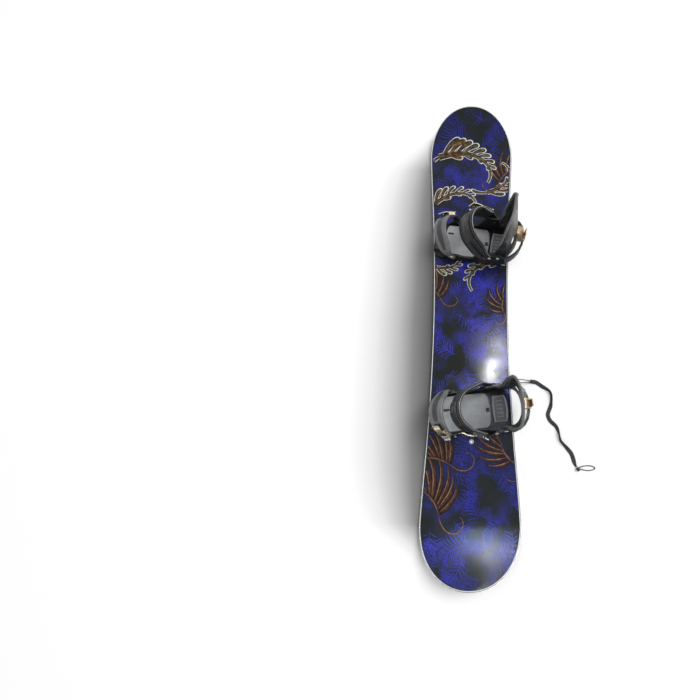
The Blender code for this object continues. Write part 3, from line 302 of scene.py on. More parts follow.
TAPE_SECTION = [(-1.0, 0.0), (-0.93, 0.8), (-0.80, 0.95), (-0.72, 1.0), (0.0, 0.92),
                (0.72, 1.0), (0.80, 0.95), (0.93, 0.8), (1.0, 0.0), (0.93, -0.8),
                (0.72, -1.0), (0.0, -0.92), (-0.72, -1.0), (-0.93, -0.8)]
TAPE_PINCH, TAPE_PINCH_FROM = 0.55, 0.94
FLOOR_GAP = 0.0002
flat_line = smooth_line([(x, y, 0.0) for x, y in TAPE_ROUTE], 0.003)
line, tilts = [], []
for i, point in enumerate(flat_line):
    share = i / (len(flat_line) - 1)
    tilt = math.radians(between(TAPE_TWIST, share))
    narrow = 1.0 - TAPE_PINCH * max(0.0, share - TAPE_PINCH_FROM) / (1.0 - TAPE_PINCH_FROM)
    lift = 0.5 * (TAPE_WIDTH * narrow * math.sin(tilt) + TAPE_THICK * math.cos(tilt))
    line.append(Vector((point.x, point.y, lift + FLOOR_GAP)))
    tilts.append((tilt, narrow))
shape = bmesh.new()
rows = []
for point, (tangent, _, _), (tilt, narrow) in zip(line, frames_along(line), tilts):
    level = Vector((-tangent.y, tangent.x, 0.0)).normalized()
    across = level * math.cos(tilt) + Vector((0, 0, 1)) * math.sin(tilt)
    out = tangent.cross(across).normalized()
    w, t = TAPE_WIDTH * narrow / 2, TAPE_THICK / 2
    rows.append([point + across * (a * w) + out * (b * t) for a, b in TAPE_SECTION])
skin(shape, rows)
webbing = piece_from("leash_flat_webbing", shape, [tape.made])
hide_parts("leash_webbing")
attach(webbing, "board")

# Sewn end: the tape folded back over both legs of the cord and closed with a bar of stitches.
SLEEVE_PLACE = Vector((0.1885, -0.1989, 0.0))
SLEEVE_RUN = Vector((0.985, -0.172, 0.0))
SLEEVE_CROSS = Vector((0.172, 0.985, 0.0))
SLEEVE_LENGTH, SLEEVE_HALF, SLEEVE_MIDDLE, SLEEVE_RISE = 0.0130, 0.0060, 0.0030, 0.0026
SLEEVE_SECTION = [(-1.0, -0.5), (-1.0, 0.3), (-0.7, 0.85), (-0.25, 0.95), (0.0, 0.80),
                  (0.25, 0.95), (0.7, 0.85), (1.0, 0.3), (1.0, -0.5), (0.7, -1.0), (-0.7, -1.0)]
BAR_PITCH, BAR_HALF, BAR_HEIGHT, BAR_THREAD = 0.0014, 0.0042, 0.0053, 0.00035
shape = bmesh.new()
rows = []
for k in range(9):
    along = (k / 8 - 0.5) * SLEEVE_LENGTH
    grip = 1.0 - 0.10 * math.sin(k / 8 * math.pi)
    rows.append([SLEEVE_PLACE + SLEEVE_RUN * along + SLEEVE_CROSS * (SLEEVE_HALF * grip * a)
                 + Vector((0, 0, SLEEVE_MIDDLE + SLEEVE_RISE * grip * b))
                 for a, b in SLEEVE_SECTION])
skin(shape, rows)
for k in range(-2, 3):
    middle = SLEEVE_PLACE + SLEEVE_RUN * (k * BAR_PITCH) + Vector((0, 0, BAR_HEIGHT))
    round_tube(shape, [middle + SLEEVE_CROSS * (BAR_HALF * c) + Vector((0, 0, 0.0003 * d))
                       for c, d in ((-1, -1), (-0.5, 0), (0, -0.6), (0.5, 0), (1, -1))],
               BAR_THREAD, 6)
sleeve = piece_from("leash_sewn_end", shape, [tape.made])
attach(sleeve, "board")
leash_cord("leash_hitch_cord", "leash_hitch_loop", HITCH_ROUTE)

# Knot: the tape's end wound round the small cord loop and pulled tight. A barrel of turns
# with the loose stub standing out of it.
KNOT_PLACE = Vector((0.3080, -0.4535, 0.0050))
KNOT_TURN = math.radians(-61)
KNOT_LENGTH, KNOT_TURNS, KNOT_RADIUS = 0.0090, 3.6, 0.0031
ROLLED_TAPE, STUB_RADIUS = 0.0017, 0.0012
knot_axis = Vector((math.cos(KNOT_TURN), math.sin(KNOT_TURN), 0.0))
knot_side = Vector((-knot_axis.y, knot_axis.x, 0.0))
coil = []
for k in range(76):
    share = k / 75
    angle = share * KNOT_TURNS * math.tau
    size = KNOT_RADIUS * math.sqrt(max(0.0, 1.0 - ((share - 0.5) * 1.5) ** 2))
    coil.append(KNOT_PLACE + knot_axis * ((share - 0.5) * KNOT_LENGTH)
                + (knot_side * math.cos(angle) + Vector((0, 0, 1)) * math.sin(angle)) * size)
shape = bmesh.new()
round_tube(shape, coil, ROLLED_TAPE, 10)
stub = [KNOT_PLACE + knot_axis * a + knot_side * b - Vector((0, 0, c))
        for a, b, c in ((0.002, 0.0, 0.0), (0.0035, 0.0032, 0.001), (0.0056, 0.0040, 0.0025))]
round_tube(shape, smooth_line(stub, 0.001), STUB_RADIUS, 8)
knot = piece_from("leash_barrel_knot", shape, [tape.made])
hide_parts("leash_knot")
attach(knot, "board")
leash_cord("leash_end_cord", "leash_end_loop", END_LOOP_ROUTE)


# Base and edges: black sintered running base, stone ground in fine lines along the board, and
# a hard steel edge ground bright, both glued under the core.
def dress(node, finish):
    """Give a CAD solid its finish."""
    nodes[node].material_slots[0].material = finish


base = Finish("sintered_base", (0.012, 0.012, 0.013), 0.34)
grind = base.noise(1.0, 3.0, 0.6, base.stretch(2600, 30, 2600))
wax = base.noise(22.0, 5.0, 0.6)
base.paint(base.mix(base.ramp(wax, (0.35, 0.0), (0.8, 1.0)), (0.010, 0.010, 0.011),
                    (0.026, 0.026, 0.028)))
base.sheen(base.ramp(wax, (0.3, 0.24), (0.8, 0.48)))
base.bump(grind, 0.00008, 0.6)
dress("base_sheet", base.made)

edge = Finish("ground_edge_steel", (0.56, 0.57, 0.59), 0.28, metallic=1.0)
scratch = edge.noise(1.0, 4.0, 0.7, edge.stretch(900, 60, 3500))
edge.paint(edge.ramp(scratch, (0.3, (0.36, 0.37, 0.39)), (0.7, (0.66, 0.67, 0.69))))
edge.sheen(edge.ramp(scratch, (0.3, 0.42), (0.75, 0.20)))
edge.bump(scratch, 0.00006, 0.5)
dress("steel_edge", edge.made)

# Sidewall and core: pale ABS strip cut to a slight slope with the marks of the cutter, round
# a core of glued poplar strips that runs tip to tail.
wall = Finish("abs_sidewall", (0.62, 0.62, 0.60), 0.42)
cutter = wall.noise(1.0, 3.0, 0.6, wall.stretch(80, 80, 2200))
wall.paint(wall.ramp(cutter, (0.3, (0.50, 0.50, 0.49)), (0.7, (0.70, 0.70, 0.68))))
wall.bump(cutter, 0.0001, 0.6)
dress("sidewall", wall.made)

poplar = Finish("poplar_core", (0.50, 0.34, 0.19), 0.6)
grain = poplar.noise(1.0, 6.0, 0.62, poplar.stretch(420, 9, 420))
strip = poplar.cells(1.0, poplar.stretch(55, 0.4, 0.1))
poplar.paint(poplar.mix(poplar.ramp(grain, (0.3, 0.0), (0.7, 1.0)), (0.36, 0.22, 0.11),
                        (0.60, 0.43, 0.25)))
poplar.bump(poplar.mix(0.3, grain, strip), 0.0002, 0.6)
dress("wood_core", poplar.made)


# Topsheet: clear glossy plastic printed from below. Royal blue breaks through cloudy olive
# black, darker towards the nose, with faint brush strokes and a few fine scratches.
def print_clouds(finish):
    """The print's place along the board from 0 to 1, its bent places, and clouds in them."""
    split = finish.add("ShaderNodeSeparateXYZ", Vector=finish.place)
    warp = finish.add("ShaderNodeTexNoise", Vector=finish.place, Scale=9.0, Detail=3.0)
    bent = finish.add("ShaderNodeVectorMath", {"operation": "MULTIPLY_ADD"},
                      _0=warp.outputs["Color"], _1=(0.07, 0.07, 0.0),
                      _2=finish.place).outputs[0]
    along = finish.maths("MULTIPLY_ADD", split.outputs["Y"], 0.625, 0.5)
    return along, bent, finish.noise(13.0, 5.0, 0.60, bent)


deck = Finish("printed_topsheet", (0.02, 0.018, 0.16), 0.11, specular=0.14)
along, bent, cloud = print_clouds(deck)
stroke = deck.noise(1.0, 4.0, 0.62, deck.add(
    "ShaderNodeMapping", Vector=bent, Rotation=(0, 0, 0.2), Scale=(150, 34, 1)).outputs[0])
glow = deck.ramp(along, (0.06, 0.85), (0.13, 0.90), (0.20, 0.35), (0.30, 0.20), (0.36, 0.80),
                 (0.62, 1.0), (0.70, 0.55), (0.76, 0.15), (0.94, 0.10))
ink = deck.maths("ADD", deck.maths("MULTIPLY", stroke, 0.22), deck.maths("MULTIPLY", cloud, 0.9))
bright = deck.ramp(ink, (0.46, (0.012, 0.015, 0.018)), (0.53, (0.016, 0.019, 0.036)),
                   (0.61, (0.020, 0.022, 0.100)), (0.72, (0.026, 0.027, 0.270)))
dim = deck.ramp(ink, (0.46, (0.008, 0.011, 0.015)), (0.56, (0.011, 0.014, 0.032)),
                (0.70, (0.014, 0.016, 0.110)))
patch = deck.ramp(deck.noise(10.0, 4.0, 0.6), (0.39, 0.0), (0.48, 1.0))
deck.paint(deck.mix(patch, (0.012, 0.014, 0.012), deck.mix(glow, dim, bright)))
hair = deck.ramp(deck.cells(1.0, deck.stretch(160, 11, 1), "DISTANCE_TO_EDGE"),
                 (0.0, 1.0), (0.006, 0.0))
worn = deck.ramp(deck.noise(5.0), (0.52, 0.0), (0.66, 1.0))
smear = deck.ramp(deck.noise(7.0, 4.0, 0.6), (0.35, 0.10), (0.65, 0.20))
matt_tail = deck.ramp(along, (0.055, 0.12), (0.13, 0.03), (0.17, 0.0))
deck.sheen(deck.maths("ADD", matt_tail, deck.maths(
    "MULTIPLY_ADD", deck.maths("MULTIPLY", hair, worn), 0.2, smear)))
deck.bump(deck.maths("ADD", deck.noise(60.0, 3.0), deck.maths("MULTIPLY", deck.noise(9.0), 4.0)),
          0.00006, 0.5)
dress("topsheet", deck.made)

# Gloss layer: the clear upper face of the topsheet, drawn as one smooth sheet over its solid so
# that it mirrors the room without breaks where the tips bend up.
scraped = bmesh.new()
scraped.from_mesh(nodes["topsheet"].data)
bmesh.ops.remove_doubles(scraped, verts=scraped.verts, dist=0.000001)
scraped.normal_update()
# The rim of the solid's flat top: the edges that part its top facets from all others.
beside_vertex = {}
for rim_edge in scraped.edges:
    top = [abs(face.normal.x) < 0.05 and face.normal.z > 0.5
           and face.normal.y * face.calc_center_median().y < 0.1 for face in rim_edge.link_faces]
    if len(top) == 2 and top[0] != top[1]:
        a, b = rim_edge.verts
        beside_vertex.setdefault(a, []).append(b)
        beside_vertex.setdefault(b, []).append(a)
outer = [min(beside_vertex, key=lambda vertex: vertex.co.y)]
while True:
    ahead = [v for v in beside_vertex[outer[-1]] if v not in outer]
    if not ahead:
        break
    outer.append(ahead[0])
heel_side = sorted((v.co.copy() for v in outer if v.co.x > -0.0005), key=lambda p: p.y)
scraped.free()
BEND_SOFTNESS, GLOSS_THICK = 0.022, 0.00012


def deck_height(y):
    """Height of the deck along the board: the solid's flat facets with their bends eased."""
    total = 0.0
    for k in range(-10, 11):
        at = y + BEND_SOFTNESS * k / 10
        i = min(len(heel_side) - 2, max(0, sum(p.y < at for p in heel_side) - 1))
        a, b = heel_side[i], heel_side[i + 1]
        total += a.z + (b.z - a.z) * (at - a.y) / (b.y - a.y)
    return total / 21 + GLOSS_THICK


half_rim = [Vector((p.x, p.y, deck_height(p.y))) for p in smooth_line(heel_side, 0.005)
            if p.x > 0.003]
shape = bmesh.new()
skin(shape, [[Vector((side * max(0.001, p.x - inset), p.y, p.z + lift))
              for side, inset, lift in ((-1, 0.0004, -0.0001), (-1, 0.0012, 0), (0, 0, 0),
                                        (1, 0.0012, 0), (1, 0.0004, -0.0001),
                                        (1, 0.0004, -0.0014), (-1, 0.0004, -0.0014))]
             for p in half_rim])
gloss = piece_from("printed_gloss_layer", shape, [deck.made])
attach(gloss, "board")

# Printed ornament: inks screened on the film under the gloss. All over the ground lie fine
# fronds, blue on black and black on blue; over them rust sprays and lobed scrolls with cream
# outlines.
INK_LIFT, INK_THICK = 0.00004, 0.00003
DECK_MARGIN, OVERHEAD = 0.0035, 0.2
deck_tree = BVHTree.FromPolygons([v.co for v in gloss.data.vertices],
                                 [tuple(p.vertices) for p in gloss.data.polygons])


def on_deck(x, y, lift):
    """The point of the deck under a place in plan, or None near its edge and off it."""
    down = Vector((0, 0, -1))
    for dx, dy in ((DECK_MARGIN, 0), (-DECK_MARGIN, 0), (0, DECK_MARGIN), (0, -DECK_MARGIN)):
        if deck_tree.ray_cast(Vector((x + dx, y + dy, OVERHEAD)), down)[0] is None:
            return None
    hit = deck_tree.ray_cast(Vector((x, y, OVERHEAD)), down)[0]
    return None if hit is None else hit + Vector((0, 0, lift))


def curl(x, y, heading, length, turn_start, turn_end, step=0.004):
    """A curling line in plan; its whole turn runs evenly from one rate to the other, in rad."""
    line = [(x, y, heading)]
    pieces = max(5, int(length / step))
    for i in range(pieces):
        heading += (turn_start + (turn_end - turn_start) * (i + 0.5) / pieces) / pieces
        x += math.cos(heading) * length / pieces
        y += math.sin(heading) * length / pieces
        line.append((x, y, heading))
    return line


def tapered(width, blunt=0.0):
    """Half widths along a stroke: fine at both ends, fullest before its middle."""
    return lambda s: width / 2 * max(0.08, blunt + (1 - blunt) * math.sin(math.pi * s ** 0.75))


def petal(width, swell=0.0):
    """Half widths along a petal: it leaves its stem narrow and ends in a full round tip."""
    return lambda s: width / 2 * (0.42 + 0.58 * s ** 0.8) * math.sqrt(
        max(0.0, 1 - max(0.0, (s - 0.72) / 0.28) ** 2)) + swell


def film(shape, line, half, lift, material=0):
    """Add a thin closed film of ink along a curling line, with its half width from a rule."""
    rows = []

    def close():
        if len(rows) > 2:
            skin(shape, rows, material=material)
        rows.clear()

    for i, (x, y, heading) in enumerate(line):
        w = max(0.00012, half(i / (len(line) - 1)))
        sx, sy = -math.sin(heading) * w, math.cos(heading) * w
        left, right = on_deck(x + sx, y + sy, lift), on_deck(x - sx, y - sy, lift)
        if left is None or right is None:
            close()
            continue
        down = Vector((0, 0, INK_THICK))
        rows.append([left, right, right - down, left - down])
    close()


BARB_PITCH = 0.0092


def frond(shape, x, y, heading, size, side, lift):
    """A bent stem with spaced barbs on both sides that sweep to its tip and curl outward."""
    stem = curl(x, y, heading, size, side * 0.4, side * 1.5)
    film(shape, stem, tapered(0.0034, 0.35), lift)
    count = round(size / BARB_PITCH)
    for i in range(1, count):
        share = i / count
        sx, sy, sh = stem[min(len(stem) - 1, round(share * (len(stem) - 1)))]
        reach = size * 0.42 * math.sin(math.pi * (0.16 + 0.74 * share)) ** 0.8
        for way in (1, -1):
            barb = curl(sx, sy, sh + way * 0.75, reach, way * 0.1, way * 1.7, 0.005)
            film(shape, barb, tapered(0.0028, 0.15), lift)


def screened_ink(name, colour, roughness=0.14, grain=1200.0, depth=0.00003, strength=0.5):
    """An ink on the film, with the fine relief that the screen leaves."""
    made = Finish(name, colour, roughness, specular=0.14)
    made.bump(made.noise(grain, 2.0), depth, strength)
    return made


ground_ink = screened_ink("ground_line_ink", (0.03, 0.026, 0.30), roughness=0.24, grain=900.0,
                          depth=0.00002, strength=0.4)
along, bent, cloud = print_clouds(ground_ink)
glow = ground_ink.ramp(along, (0.06, 0.55), (0.12, 0.65), (0.20, 0.25), (0.30, 0.25),
                       (0.36, 0.85), (0.62, 1.0), (0.70, 0.65), (0.76, 0.25), (0.94, 0.2))
dim = ground_ink.ramp(cloud, (0.42, (0.016, 0.018, 0.150)), (0.50, (0.020, 0.022, 0.190)),
                      (0.56, (0.014, 0.016, 0.080)), (0.61, (0.006, 0.008, 0.013)))
bright = ground_ink.ramp(cloud, (0.42, (0.024, 0.026, 0.330)), (0.50, (0.030, 0.031, 0.460)),
                         (0.56, (0.022, 0.023, 0.220)), (0.61, (0.010, 0.011, 0.030)))
patch = ground_ink.ramp(ground_ink.noise(10.0, 4.0, 0.6), (0.38, 0.0), (0.47, 1.0))
ground_ink.paint(ground_ink.mix(patch, (0.012, 0.014, 0.026), ground_ink.mix(glow, dim, bright)))

FROND_ROWS, FROND_COLUMNS = 24, 4
FROND_START, FROND_PITCH, FROND_STRAY = (-0.108, -0.725), (0.066, 0.062), (0.010, 0.012)
ROW_STAGGER = 0.030
FROND_SIZES = (0.075, 0.125)
dice = random.Random(17)
shape = bmesh.new()
for row in range(FROND_ROWS):
    for column in range(FROND_COLUMNS):
        x = FROND_START[0] + column * FROND_PITCH[0] + (row % 2) * ROW_STAGGER \
            + dice.uniform(-FROND_STRAY[0], FROND_STRAY[0])
        y = FROND_START[1] + row * FROND_PITCH[1] + dice.uniform(-FROND_STRAY[1], FROND_STRAY[1])
        drawn = row * FROND_COLUMNS + column + 1
        frond(shape, x, y, dice.uniform(0, math.tau), dice.uniform(*FROND_SIZES),
              dice.choice((1, -1)), INK_LIFT + (drawn % 9) * 0.000003)
ornament = piece_from("ground_ornament", shape, [ground_ink.made])
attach(ornament, "board")

# Rust sprays: each is a curved rib with long blades that overlap like a wing's feathers, dark
# at their roots, pale along one side, on a brown-black shade that lifts them off the ground.
rust = screened_ink("rust_ink", (0.13, 0.036, 0.016))
rust.paint(rust.ramp(rust.noise(1.0, 5.0, 0.6, rust.stretch(150, 70, 1)),
                     (0.34, (0.014, 0.007, 0.006)), (0.50, (0.052, 0.019, 0.011)),
                     (0.68, (0.125, 0.050, 0.027))))
tan = screened_ink("tan_ink", (0.30, 0.17, 0.10), roughness=0.15)
tan.paint(tan.ramp(tan.noise(90.0, 4.0), (0.38, (0.11, 0.055, 0.032)), (0.62, (0.27, 0.16, 0.10))))
shadow_ink = screened_ink("brown_black_ink", (0.010, 0.007, 0.007), grain=900.0,
                          depth=0.00002, strength=0.4)
shadow_ink.paint(shadow_ink.ramp(shadow_ink.noise(40.0, 4.0), (0.4, (0.007, 0.006, 0.007)),
                                 (0.65, (0.022, 0.011, 0.010))))


RUST, TAN, SHADE = 0, 1, 2


def shifted(line, offset):
    """The same line moved to its left."""
    return [(x - math.sin(h) * offset, y + math.cos(h) * offset, h) for x, y, h in line]


def spray(shape, x, y, heading, size, blades, side):
    """A rib with overlapping blades on its outer side and a curled tail."""
    rib = curl(x, y, heading, size * 0.62, side * 0.3, side * 1.3)
    strokes = []
    for i in range(blades):
        share = i / (blades - 1)
        sx, sy, sh = rib[round(share * 0.92 * (len(rib) - 1))]
        length = size * (0.50 + 0.50 * math.sin(math.pi * (0.15 + 0.62 * share)))
        line = curl(sx, sy, sh - side * (1.25 - 0.75 * share), length, side * 0.15, side * 1.55)
        strokes.append((line, size * 0.088))
    tail = curl(x, y, heading + math.pi - side * 0.25, size * 1.05, side * 1.2, side * 6.8)
    for line, width in strokes:
        film(shape, line, lambda s, w=width: tapered(w)(s) + 0.0042 * (1 - s * 0.7),
             INK_LIFT * 3, SHADE)
    for i, (line, width) in enumerate(strokes):
        lift = INK_LIFT * 3.4 + 0.000002 * i
        film(shape, line, tapered(width), lift + 0.000002, RUST)
        film(shape, shifted(line[1:], side * width * 0.20), tapered(0.0026), lift + 0.000030,
             TAN)
    film(shape, tail, lambda s: tapered(0.0062, 0.3)(s) * (1 - 0.5 * s), INK_LIFT * 5.0, RUST)
    film(shape, shifted(tail, side * 0.0009), tapered(0.0018, 0.3), INK_LIFT * 6.0, TAN)
    film(shape, rib, tapered(0.0075, 0.2), INK_LIFT * 5.2, RUST)
    film(shape, rib, tapered(0.0022, 0.2), INK_LIFT * 6.2, TAN)


shape = bmesh.new()
for x, y, heading, size, blades, side in (
        (0.098, 0.500, 1.1, 0.105, 6, -1), (-0.098, 0.075, 2.1, 0.100, 6, 1),
        (0.104, 0.022, 1.9, 0.075, 5, -1), (-0.060, -0.440, 2.6, 0.125, 8, 1),
        (0.118, -0.430, 2.4, 0.100, 6, -1), (-0.088, -0.575, 1.9, 0.130, 8, 1)):
    spray(shape, x, y, heading, size, blades, side)
sprays = piece_from("rust_spray_ornament", shape, [rust.made, tan.made, shadow_ink.made])
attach(sprays, "board")

# Cream scrolls: lobed leaves rolled up at one end, traced by one cream line round the whole
# leaf, with olive and rust inside and a vein down each lobe.
cream = screened_ink("cream_ink", (0.62, 0.64, 0.54), roughness=0.15)
cream.paint(cream.ramp(cream.noise(120.0, 4.0), (0.35, (0.42, 0.45, 0.38)),
                       (0.65, (0.72, 0.73, 0.64))))
olive = screened_ink("olive_ink", (0.05, 0.040, 0.02))
fibre = olive.noise(1.0, 5.0, 0.6, olive.stretch(60, 80, 1))
olive.paint(olive.mix(
    olive.ramp(olive.noise(5.0, 2.0), (0.46, 0.0), (0.54, 1.0)),
    olive.ramp(fibre, (0.40, (0.009, 0.010, 0.011)), (0.50, (0.040, 0.028, 0.015)),
               (0.58, (0.120, 0.045, 0.020)), (0.70, (0.200, 0.140, 0.060))),
    olive.ramp(fibre, (0.38, (0.010, 0.012, 0.012)), (0.50, (0.052, 0.046, 0.024)),
               (0.60, (0.120, 0.092, 0.038)), (0.70, (0.240, 0.200, 0.105)))))
OUTLINE, SPINE_TURN = 0.0018, 4.6
EDGE_INK, LEAF_INK, VEIN_INK = 0, 1, 2
LEAF_LIFT, VEIN_LIFT = 0.00014, 0.00026


def lobed_scroll(shape, x, y, heading, size, lobes, side):
    """A leaf along a rolling spine: long lobes outside, small ones inside, one outline."""
    spine = curl(x, y, heading, size, side * 0.2, side * SPINE_TURN, 0.003)
    petals = []
    for i in range(lobes):
        t = i / (lobes - 1)
        sx, sy, sh = spine[round((0.06 + 0.66 * t) * (len(spine) - 1))]
        reach = size * (0.33 - 0.20 * t)
        petals.append((curl(sx, sy, sh - side * 0.85, reach, side * 0.2, side * 1.6, 0.003),
                       size * (0.085 - 0.040 * t)))
        if i % 2 == 1:
            petals.append((curl(sx, sy, sh + side * 0.70, reach * 0.62, -side * 0.2,
                                -side * 1.2, 0.003), size * (0.060 - 0.020 * t)))
    petals.append((curl(x, y, heading + math.pi - side * 0.3, size * 0.34, -side * 0.2,
                        -side * 1.4, 0.003), size * 0.070))
    body = lambda s: size * 0.040 * (1 - 0.75 * s) + 0.0004
    base = INK_LIFT * 4
    film(shape, spine, lambda s: body(s) + OUTLINE, base, EDGE_INK)
    for i, (line, width) in enumerate(petals):
        film(shape, line, petal(width, OUTLINE), base + 0.000001 * (i + 1), EDGE_INK)
    film(shape, spine, body, base + LEAF_LIFT, LEAF_INK)
    for i, (line, width) in enumerate(petals):
        film(shape, line[:-1], petal(width * 0.98), base + LEAF_LIFT + 0.000001 * (i + 1),
             LEAF_INK)
        film(shape, line[len(line) // 4:-2], tapered(0.0014), base + VEIN_LIFT, VEIN_INK)
    film(shape, spine[2:-3], tapered(0.0015, 0.4), base + VEIN_LIFT + 0.00001, VEIN_INK)


shape = bmesh.new()
for x, y, heading, size, lobes, side in (
        (-0.112, 0.600, 0.25, 0.26, 8, -1), (0.055, 0.455, 0.35, 0.17, 6, 1),
        (-0.128, 0.410, 0.75, 0.19, 6, -1), (0.125, 0.190, 3.0, 0.20, 7, 1),
        (-0.118, 0.180, -0.2, 0.13, 5, 1)):
    lobed_scroll(shape, x, y, heading, size, lobes, side)
scrolls = piece_from("cream_scroll_ornament", shape, [cream.made, olive.made, tan.made])
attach(scrolls, "board")

# Bevelled rim: where the topsheet's edge was scraped off at a slope, the pale plastic under the
# print shows as a fine line all round the board.
RIM_WIDTH = 0.0030
loop = half_rim + [Vector((-p.x, p.y, p.z)) for p in reversed(half_rim)]
shape = bmesh.new()
rows = []
for i, point in enumerate(loop):
    run = loop[(i + 1) % len(loop)] - loop[i - 1]
    inward = Vector((-run.y, run.x, 0.0)).normalized()
    rows.append([point + inward * a + Vector((0, 0, b)) for a, b in
                 ((0.0001, -0.0003), (0.0008, 0.00002), (0.0014, 0.00008),
                  (RIM_WIDTH, 0.00007), (RIM_WIDTH, -0.00004), (0.0001, -0.0008))])
skin(shape, rows, joined=True)
bevel_line = piece_from("bevelled_rim_line", shape, [wall.made])
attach(bevel_line, "board")

# Inserts: stainless threaded cups let into the core. Those that the baseplates leave uncovered
# show as small bright rings flush with the deck, one of them under a pale snap-in plug.
steel = Finish("stainless_insert", (0.66, 0.66, 0.67), 0.25, metallic=1.0)
steel.paint(steel.ramp(steel.noise(700.0, 3.0), (0.3, (0.52, 0.52, 0.54)),
                       (0.7, (0.76, 0.76, 0.78))))
steel.bump(steel.noise(1400.0, 2.0), 0.00004, 0.5)
# The bore is a flat near-black face: painted shade standing for the depth of the threaded hole.
bore_painted_shade = Finish("insert_bore_painted_shade", (0.010, 0.010, 0.011), 0.6)
bore_painted_shade.bump(bore_painted_shade.noise(900.0, 2.0), 0.0001, 0.5)
plug = Finish("plug_plastic", (0.60, 0.61, 0.62), 0.35)
plug.paint(plug.ramp(plug.noise(160.0, 4.0), (0.35, (0.46, 0.47, 0.48)),
                     (0.65, (0.70, 0.70, 0.71))))
plug.bump(plug.noise(1000.0, 2.0), 0.00005, 0.5)
CUP = [(0.0012, 0.00006), (0.0015, 0.00024), (0.0026, 0.00030), (0.0031, 0.00018),
       (0.0033, 0.00002)]
PLUG = [(0.0022, 0.00030), (0.0030, 0.00075), (0.0052, 0.00110), (0.0066, 0.00080),
        (0.0070, 0.00002)]


def disc_on_deck(shape, x, y, profile, sides, ring_material, middle_material):
    """A turned disc on the deck: rings of a profile round a flat middle."""
    middle = on_deck(x, y, 0.0)
    made = [[shape.verts.new((x + r * math.cos(a), y + r * math.sin(a), middle.z + z))
             for r, z in profile] for a in (k * math.tau / sides for k in range(sides))]
    for a in range(sides):
        b = (a + 1) % sides
        for k in range(len(profile) - 1):
            shape.faces.new((made[a][k], made[a][k + 1], made[b][k + 1],
                             made[b][k])).material_index = ring_material
    shape.faces.new([ring[0] for ring in made]).material_index = middle_material
    shape.faces.new([ring[-1] for ring in reversed(made)]).material_index = ring_material


INSERT_PLACES, PLUG_PLACE = ((-0.0020, 0.390), (-0.0175, 0.2046)), (0.0039, -0.3759)
shape = bmesh.new()
for x, y in INSERT_PLACES:
    disc_on_deck(shape, x, y, CUP, sides=20, ring_material=0, middle_material=1)
disc_on_deck(shape, *PLUG_PLACE, PLUG, sides=28, ring_material=2, middle_material=0)
inserts = piece_from("deck_inserts", shape, [steel.made, bore_painted_shade.made, plug.made])
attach(inserts, "board")

# Baseplates: glass-filled nylon trays, injection moulded in charcoal with a fine spark texture,
# and paler along the rails, partly from wear and partly as painted highlight. A coned disc with
# four screws clamps each to the board.
# Place along the board, angle, and the way that the buckled outer side faces (1: the nose).
BINDINGS = {"front": (0.258, math.radians(9), 1), "rear": (-0.291, math.radians(-6), -1)}


def moulded(name, dark, pale, roughness, grain, edge_wear_and_highlight_colour, specular=0.18):
    """Textured moulding: cloudy colour, a fine pebble relief, and pale edges that are partly
    wear and partly painted highlight.
    """
    made = Finish(name, dark, roughness, specular=specular)
    body = made.mix(made.ramp(made.noise(38.0, 5.0, 0.6), (0.35, 0.0), (0.70, 1.0)), dark, pale)
    # Pale edges: partly rubbed wear, partly painted highlight.
    wear_and_highlight = made.maths("MULTIPLY", made.edges(0.0009),
                        made.ramp(made.noise(70.0, 4.0), (0.30, 0.25), (0.65, 1.0)))
    made.paint(made.mix(wear_and_highlight, body, edge_wear_and_highlight_colour))
    made.sheen(made.ramp(made.noise(55.0, 4.0), (0.3, roughness - 0.07), (0.7, roughness + 0.10)))
    made.bump(made.cells(grain), 0.00014, 0.55, round_off=0.0007)
    return made.made


tray_nylon = moulded("tray_nylon", (0.009, 0.009, 0.010), (0.020, 0.020, 0.022), roughness=0.40,
                     grain=1500.0, edge_wear_and_highlight_colour=(0.16, 0.165, 0.17), specular=0.14)
disc_nylon = moulded("disc_nylon", (0.050, 0.051, 0.054), (0.070, 0.071, 0.074), roughness=0.45,
                     grain=1300.0, edge_wear_and_highlight_colour=(0.20, 0.20, 0.21))
for tag in BINDINGS:
    dress(tag + "_baseplate", tray_nylon)
    dress(tag + "_disc", disc_nylon)

# Footbeds: sheets of grey EVA foam, cut and hot pressed, on the baseplate's floor. They have a
# moulded welt near the edge, pressed lines in the middle and a square tab at the heel.
DECK_HEIGHT, PAD_LOW = 0.0095, 0.0098


def stand(tag):
    """The binding's own frame: x to the heel, y to the nose, z up from the deck."""
    place, angle, _ = BINDINGS[tag]
    return Matrix.Translation((0.0, place, DECK_HEIGHT)) @ Matrix.Rotation(-angle, 4, "Z")


